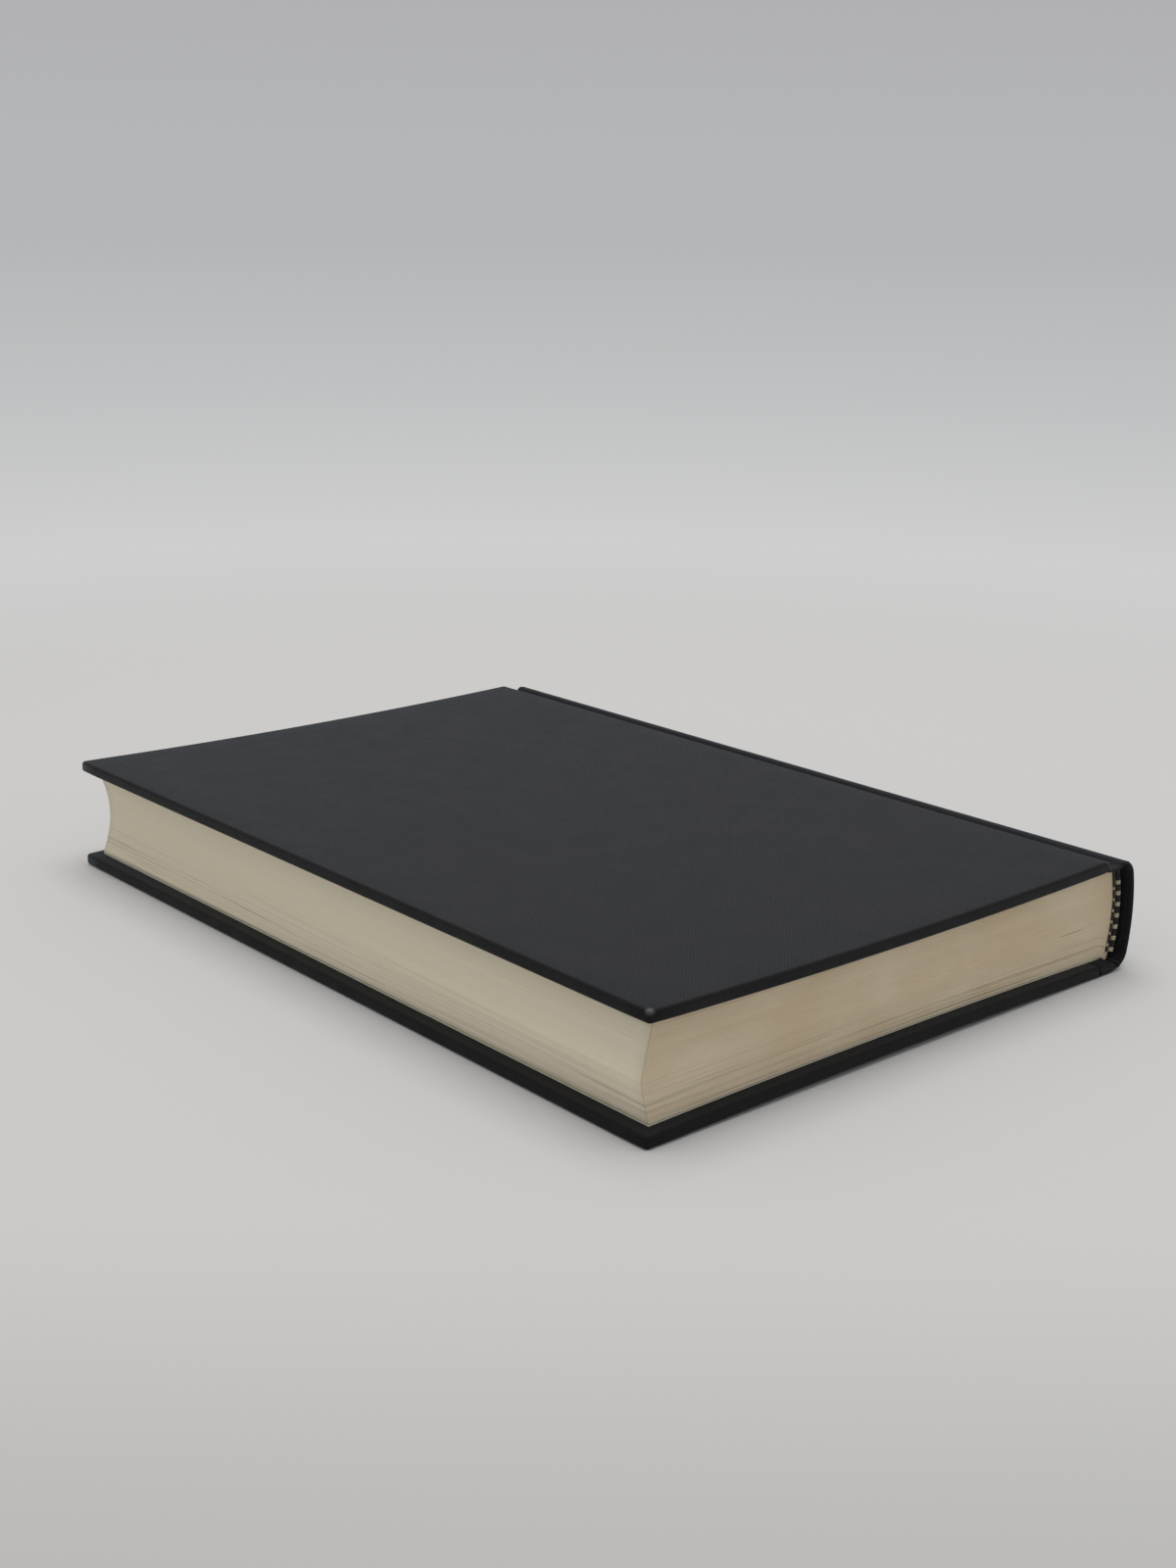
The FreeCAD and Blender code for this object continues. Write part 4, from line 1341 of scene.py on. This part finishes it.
def sweep_paper():
    material = new_material("paper_sweep")
    tree = material.node_tree
    place = add(tree, "ShaderNodeTexCoord").outputs["Object"]
    distance = add(tree, "ShaderNodeVectorMath", {0: place}, operation="LENGTH").outputs["Value"]
    forward = (math.cos(CAMERA_AZIMUTH), math.sin(CAMERA_AZIMUTH), 0)
    front = add(tree, "ShaderNodeVectorMath", {0: place, 1: forward}, operation="DOT_PRODUCT")
    # Painted shade: the floor darkens towards the camera's side.
    near = add(
        tree, "ShaderNodeMapRange",
        {"Value": front.outputs["Value"], "From Min": NEAR_SHADE_START, "From Max": NEAR_SHADE_END},
        interpolation_type="SMOOTHSTEP"
    ).outputs["Result"]
    paper = add(
        tree, "ShaderNodeMix", {0: near, 6: linear(FLOOR_PAPER), 7: linear(FLOOR_NEAR_SHADE)}, data_type="RGBA"
    ).outputs[2]
    # Beyond the book the floor glows: painted light whose tones darken with distance.
    far = linear(FAR_TONES[0][1])
    nearness = add(tree, "ShaderNodeMath", {0: distance, 1: FADE_REACH}, operation="ADD").outputs[0]
    nearness = add(tree, "ShaderNodeMath", {0: 1.0, 1: nearness}, operation="DIVIDE").outputs[0]
    for (start, tone), (end, next_tone) in zip(FAR_TONES, FAR_TONES[1:]):
        limits = {"From Min": 1 / (start + FADE_REACH), "From Max": 1 / (end + FADE_REACH)}
        share = add(tree, "ShaderNodeMapRange", {"Value": nearness, **limits}).outputs[0]
        far = add(
            tree, "ShaderNodeMix", {0: share, 6: far, 7: linear(next_tone)}, data_type="RGBA"
        ).outputs[2]
    diffuse = add(tree, "ShaderNodeBsdfDiffuse", {"Color": paper}).outputs[0]
    glow = add(tree, "ShaderNodeEmission", {"Color": far, "Strength": 1.0}).outputs[0]
    share = add(
        tree, "ShaderNodeMapRange", {"Value": distance, "From Min": FADE_START, "From Max": FADE_END},
        interpolation_type="SMOOTHSTEP"
    ).outputs["Result"]
    mixed = add(tree, "ShaderNodeMixShader", {0: share, 1: diffuse, 2: glow}).outputs[0]
    add(tree, "ShaderNodeOutputMaterial", {"Surface": mixed})
    return material


floor_mesh = bpy.data.meshes.new("floor")
half_floor = FLOOR_SIZE / 2
floor_corners = [(x * half_floor, y * half_floor, 0) for x, y in ((-1, -1), (1, -1), (1, 1), (-1, 1))]
floor_mesh.from_pydata(floor_corners, [], [(0, 1, 2, 3)])
floor = bpy.data.objects.new("floor", floor_mesh)
bpy.context.scene.collection.objects.link(floor)
floor_mesh.materials.append(sweep_paper())

ROOM_LIGHT = 0.62
ROOM_TINT = "#fdfdff"
SKY_TOP = "#b0b0b2"
SKY_TOP_RISE = 0.12

world = bpy.data.worlds.new("studio")
bpy.context.scene.world = world
world.use_nodes = True
tree = world.node_tree
tree.nodes.clear()
paths = add(tree, "ShaderNodeLightPath").outputs
seen = add(
    tree, "ShaderNodeMath", {0: paths["Is Camera Ray"], 1: paths["Is Transmission Ray"]},
    operation="MAXIMUM"
).outputs[0]
seen = add(tree, "ShaderNodeMath", {0: seen, 1: paths["Is Glossy Ray"]}, operation="MAXIMUM").outputs[0]
direction = add(tree, "ShaderNodeTexCoord").outputs["Generated"]
rise = add(tree, "ShaderNodeSeparateXYZ", {0: direction}).outputs["Z"]
backdrop = add(
    tree, "ShaderNodeMapRange", {"Value": rise, "From Min": 0.0, "From Max": SKY_TOP_RISE},
    interpolation_type="SMOOTHSTEP"
).outputs["Result"]
backdrop = add(
    tree, "ShaderNodeMix", {0: backdrop, 6: linear(FAR_TONES[-1][1]), 7: linear(SKY_TOP)},
    data_type="RGBA"
).outputs[2]
shown = add(tree, "ShaderNodeBackground", {"Color": backdrop, "Strength": 1.0}).outputs[0]
lit = add(tree, "ShaderNodeBackground", {"Color": linear(ROOM_TINT), "Strength": ROOM_LIGHT}).outputs[0]
mixed = add(tree, "ShaderNodeMixShader", {0: seen, 1: lit, 2: shown}).outputs[0]
add(tree, "ShaderNodeOutputWorld", {"Surface": mixed})

LAMP_PLACE = (-0.12, -0.05, 1.5)
LAMP_SIZE = 1.2
LAMP_WATTS = 11.5

light = bpy.data.lights.new("overhead_softbox", "AREA")
light.size = LAMP_SIZE
light.energy = LAMP_WATTS
lamp = bpy.data.objects.new("overhead_softbox", light)
bpy.context.scene.collection.objects.link(lamp)
away = np.array(LAMP_PLACE) / np.linalg.norm(LAMP_PLACE)
across = np.cross((0, 1, 0), away)
across /= np.linalg.norm(across)
facing_book = Matrix((across, np.cross(away, across), away)).transposed().to_4x4()
facing_book.translation = LAMP_PLACE
lamp.matrix_world = facing_book

# Camera.
# It stands before the head and fore edge, looks down by 16 degrees, and its lens comes from the photo's
# perspective.

CAMERA_PLACE = (343.99, 399.22, 187.33)
CAMERA_DOWN = math.radians(15.964)
CAMERA_ROLL = math.radians(0.843)
FOCAL_PIXELS = 2075.8
IMAGE_HEIGHT = 1600
SENSOR_MM = 36.0
CLIP_START = 0.01

look = np.array((
    -math.cos(CAMERA_DOWN) * math.cos(CAMERA_AZIMUTH),
    -math.cos(CAMERA_DOWN) * math.sin(CAMERA_AZIMUTH),
    -math.sin(CAMERA_DOWN),
))
level_right = np.cross(look, (0, 0, 1))
level_right /= np.linalg.norm(level_right)
level_up = np.cross(level_right, look)
right = math.cos(CAMERA_ROLL) * level_right + math.sin(CAMERA_ROLL) * level_up
up = -math.sin(CAMERA_ROLL) * level_right + math.cos(CAMERA_ROLL) * level_up
lens = bpy.data.cameras.new("camera")
lens.sensor_width = SENSOR_MM
lens.lens = FOCAL_PIXELS / IMAGE_HEIGHT * lens.sensor_width
lens.clip_start = CLIP_START
camera = bpy.data.objects.new("camera", lens)
bpy.context.scene.collection.objects.link(camera)
aim = Matrix((right, up, -look)).transposed().to_4x4()
aim.translation = [c * MM for c in CAMERA_PLACE]
camera.matrix_world = aim
bpy.context.scene.camera = camera
bpy.context.scene.view_settings.view_transform = "Standard"
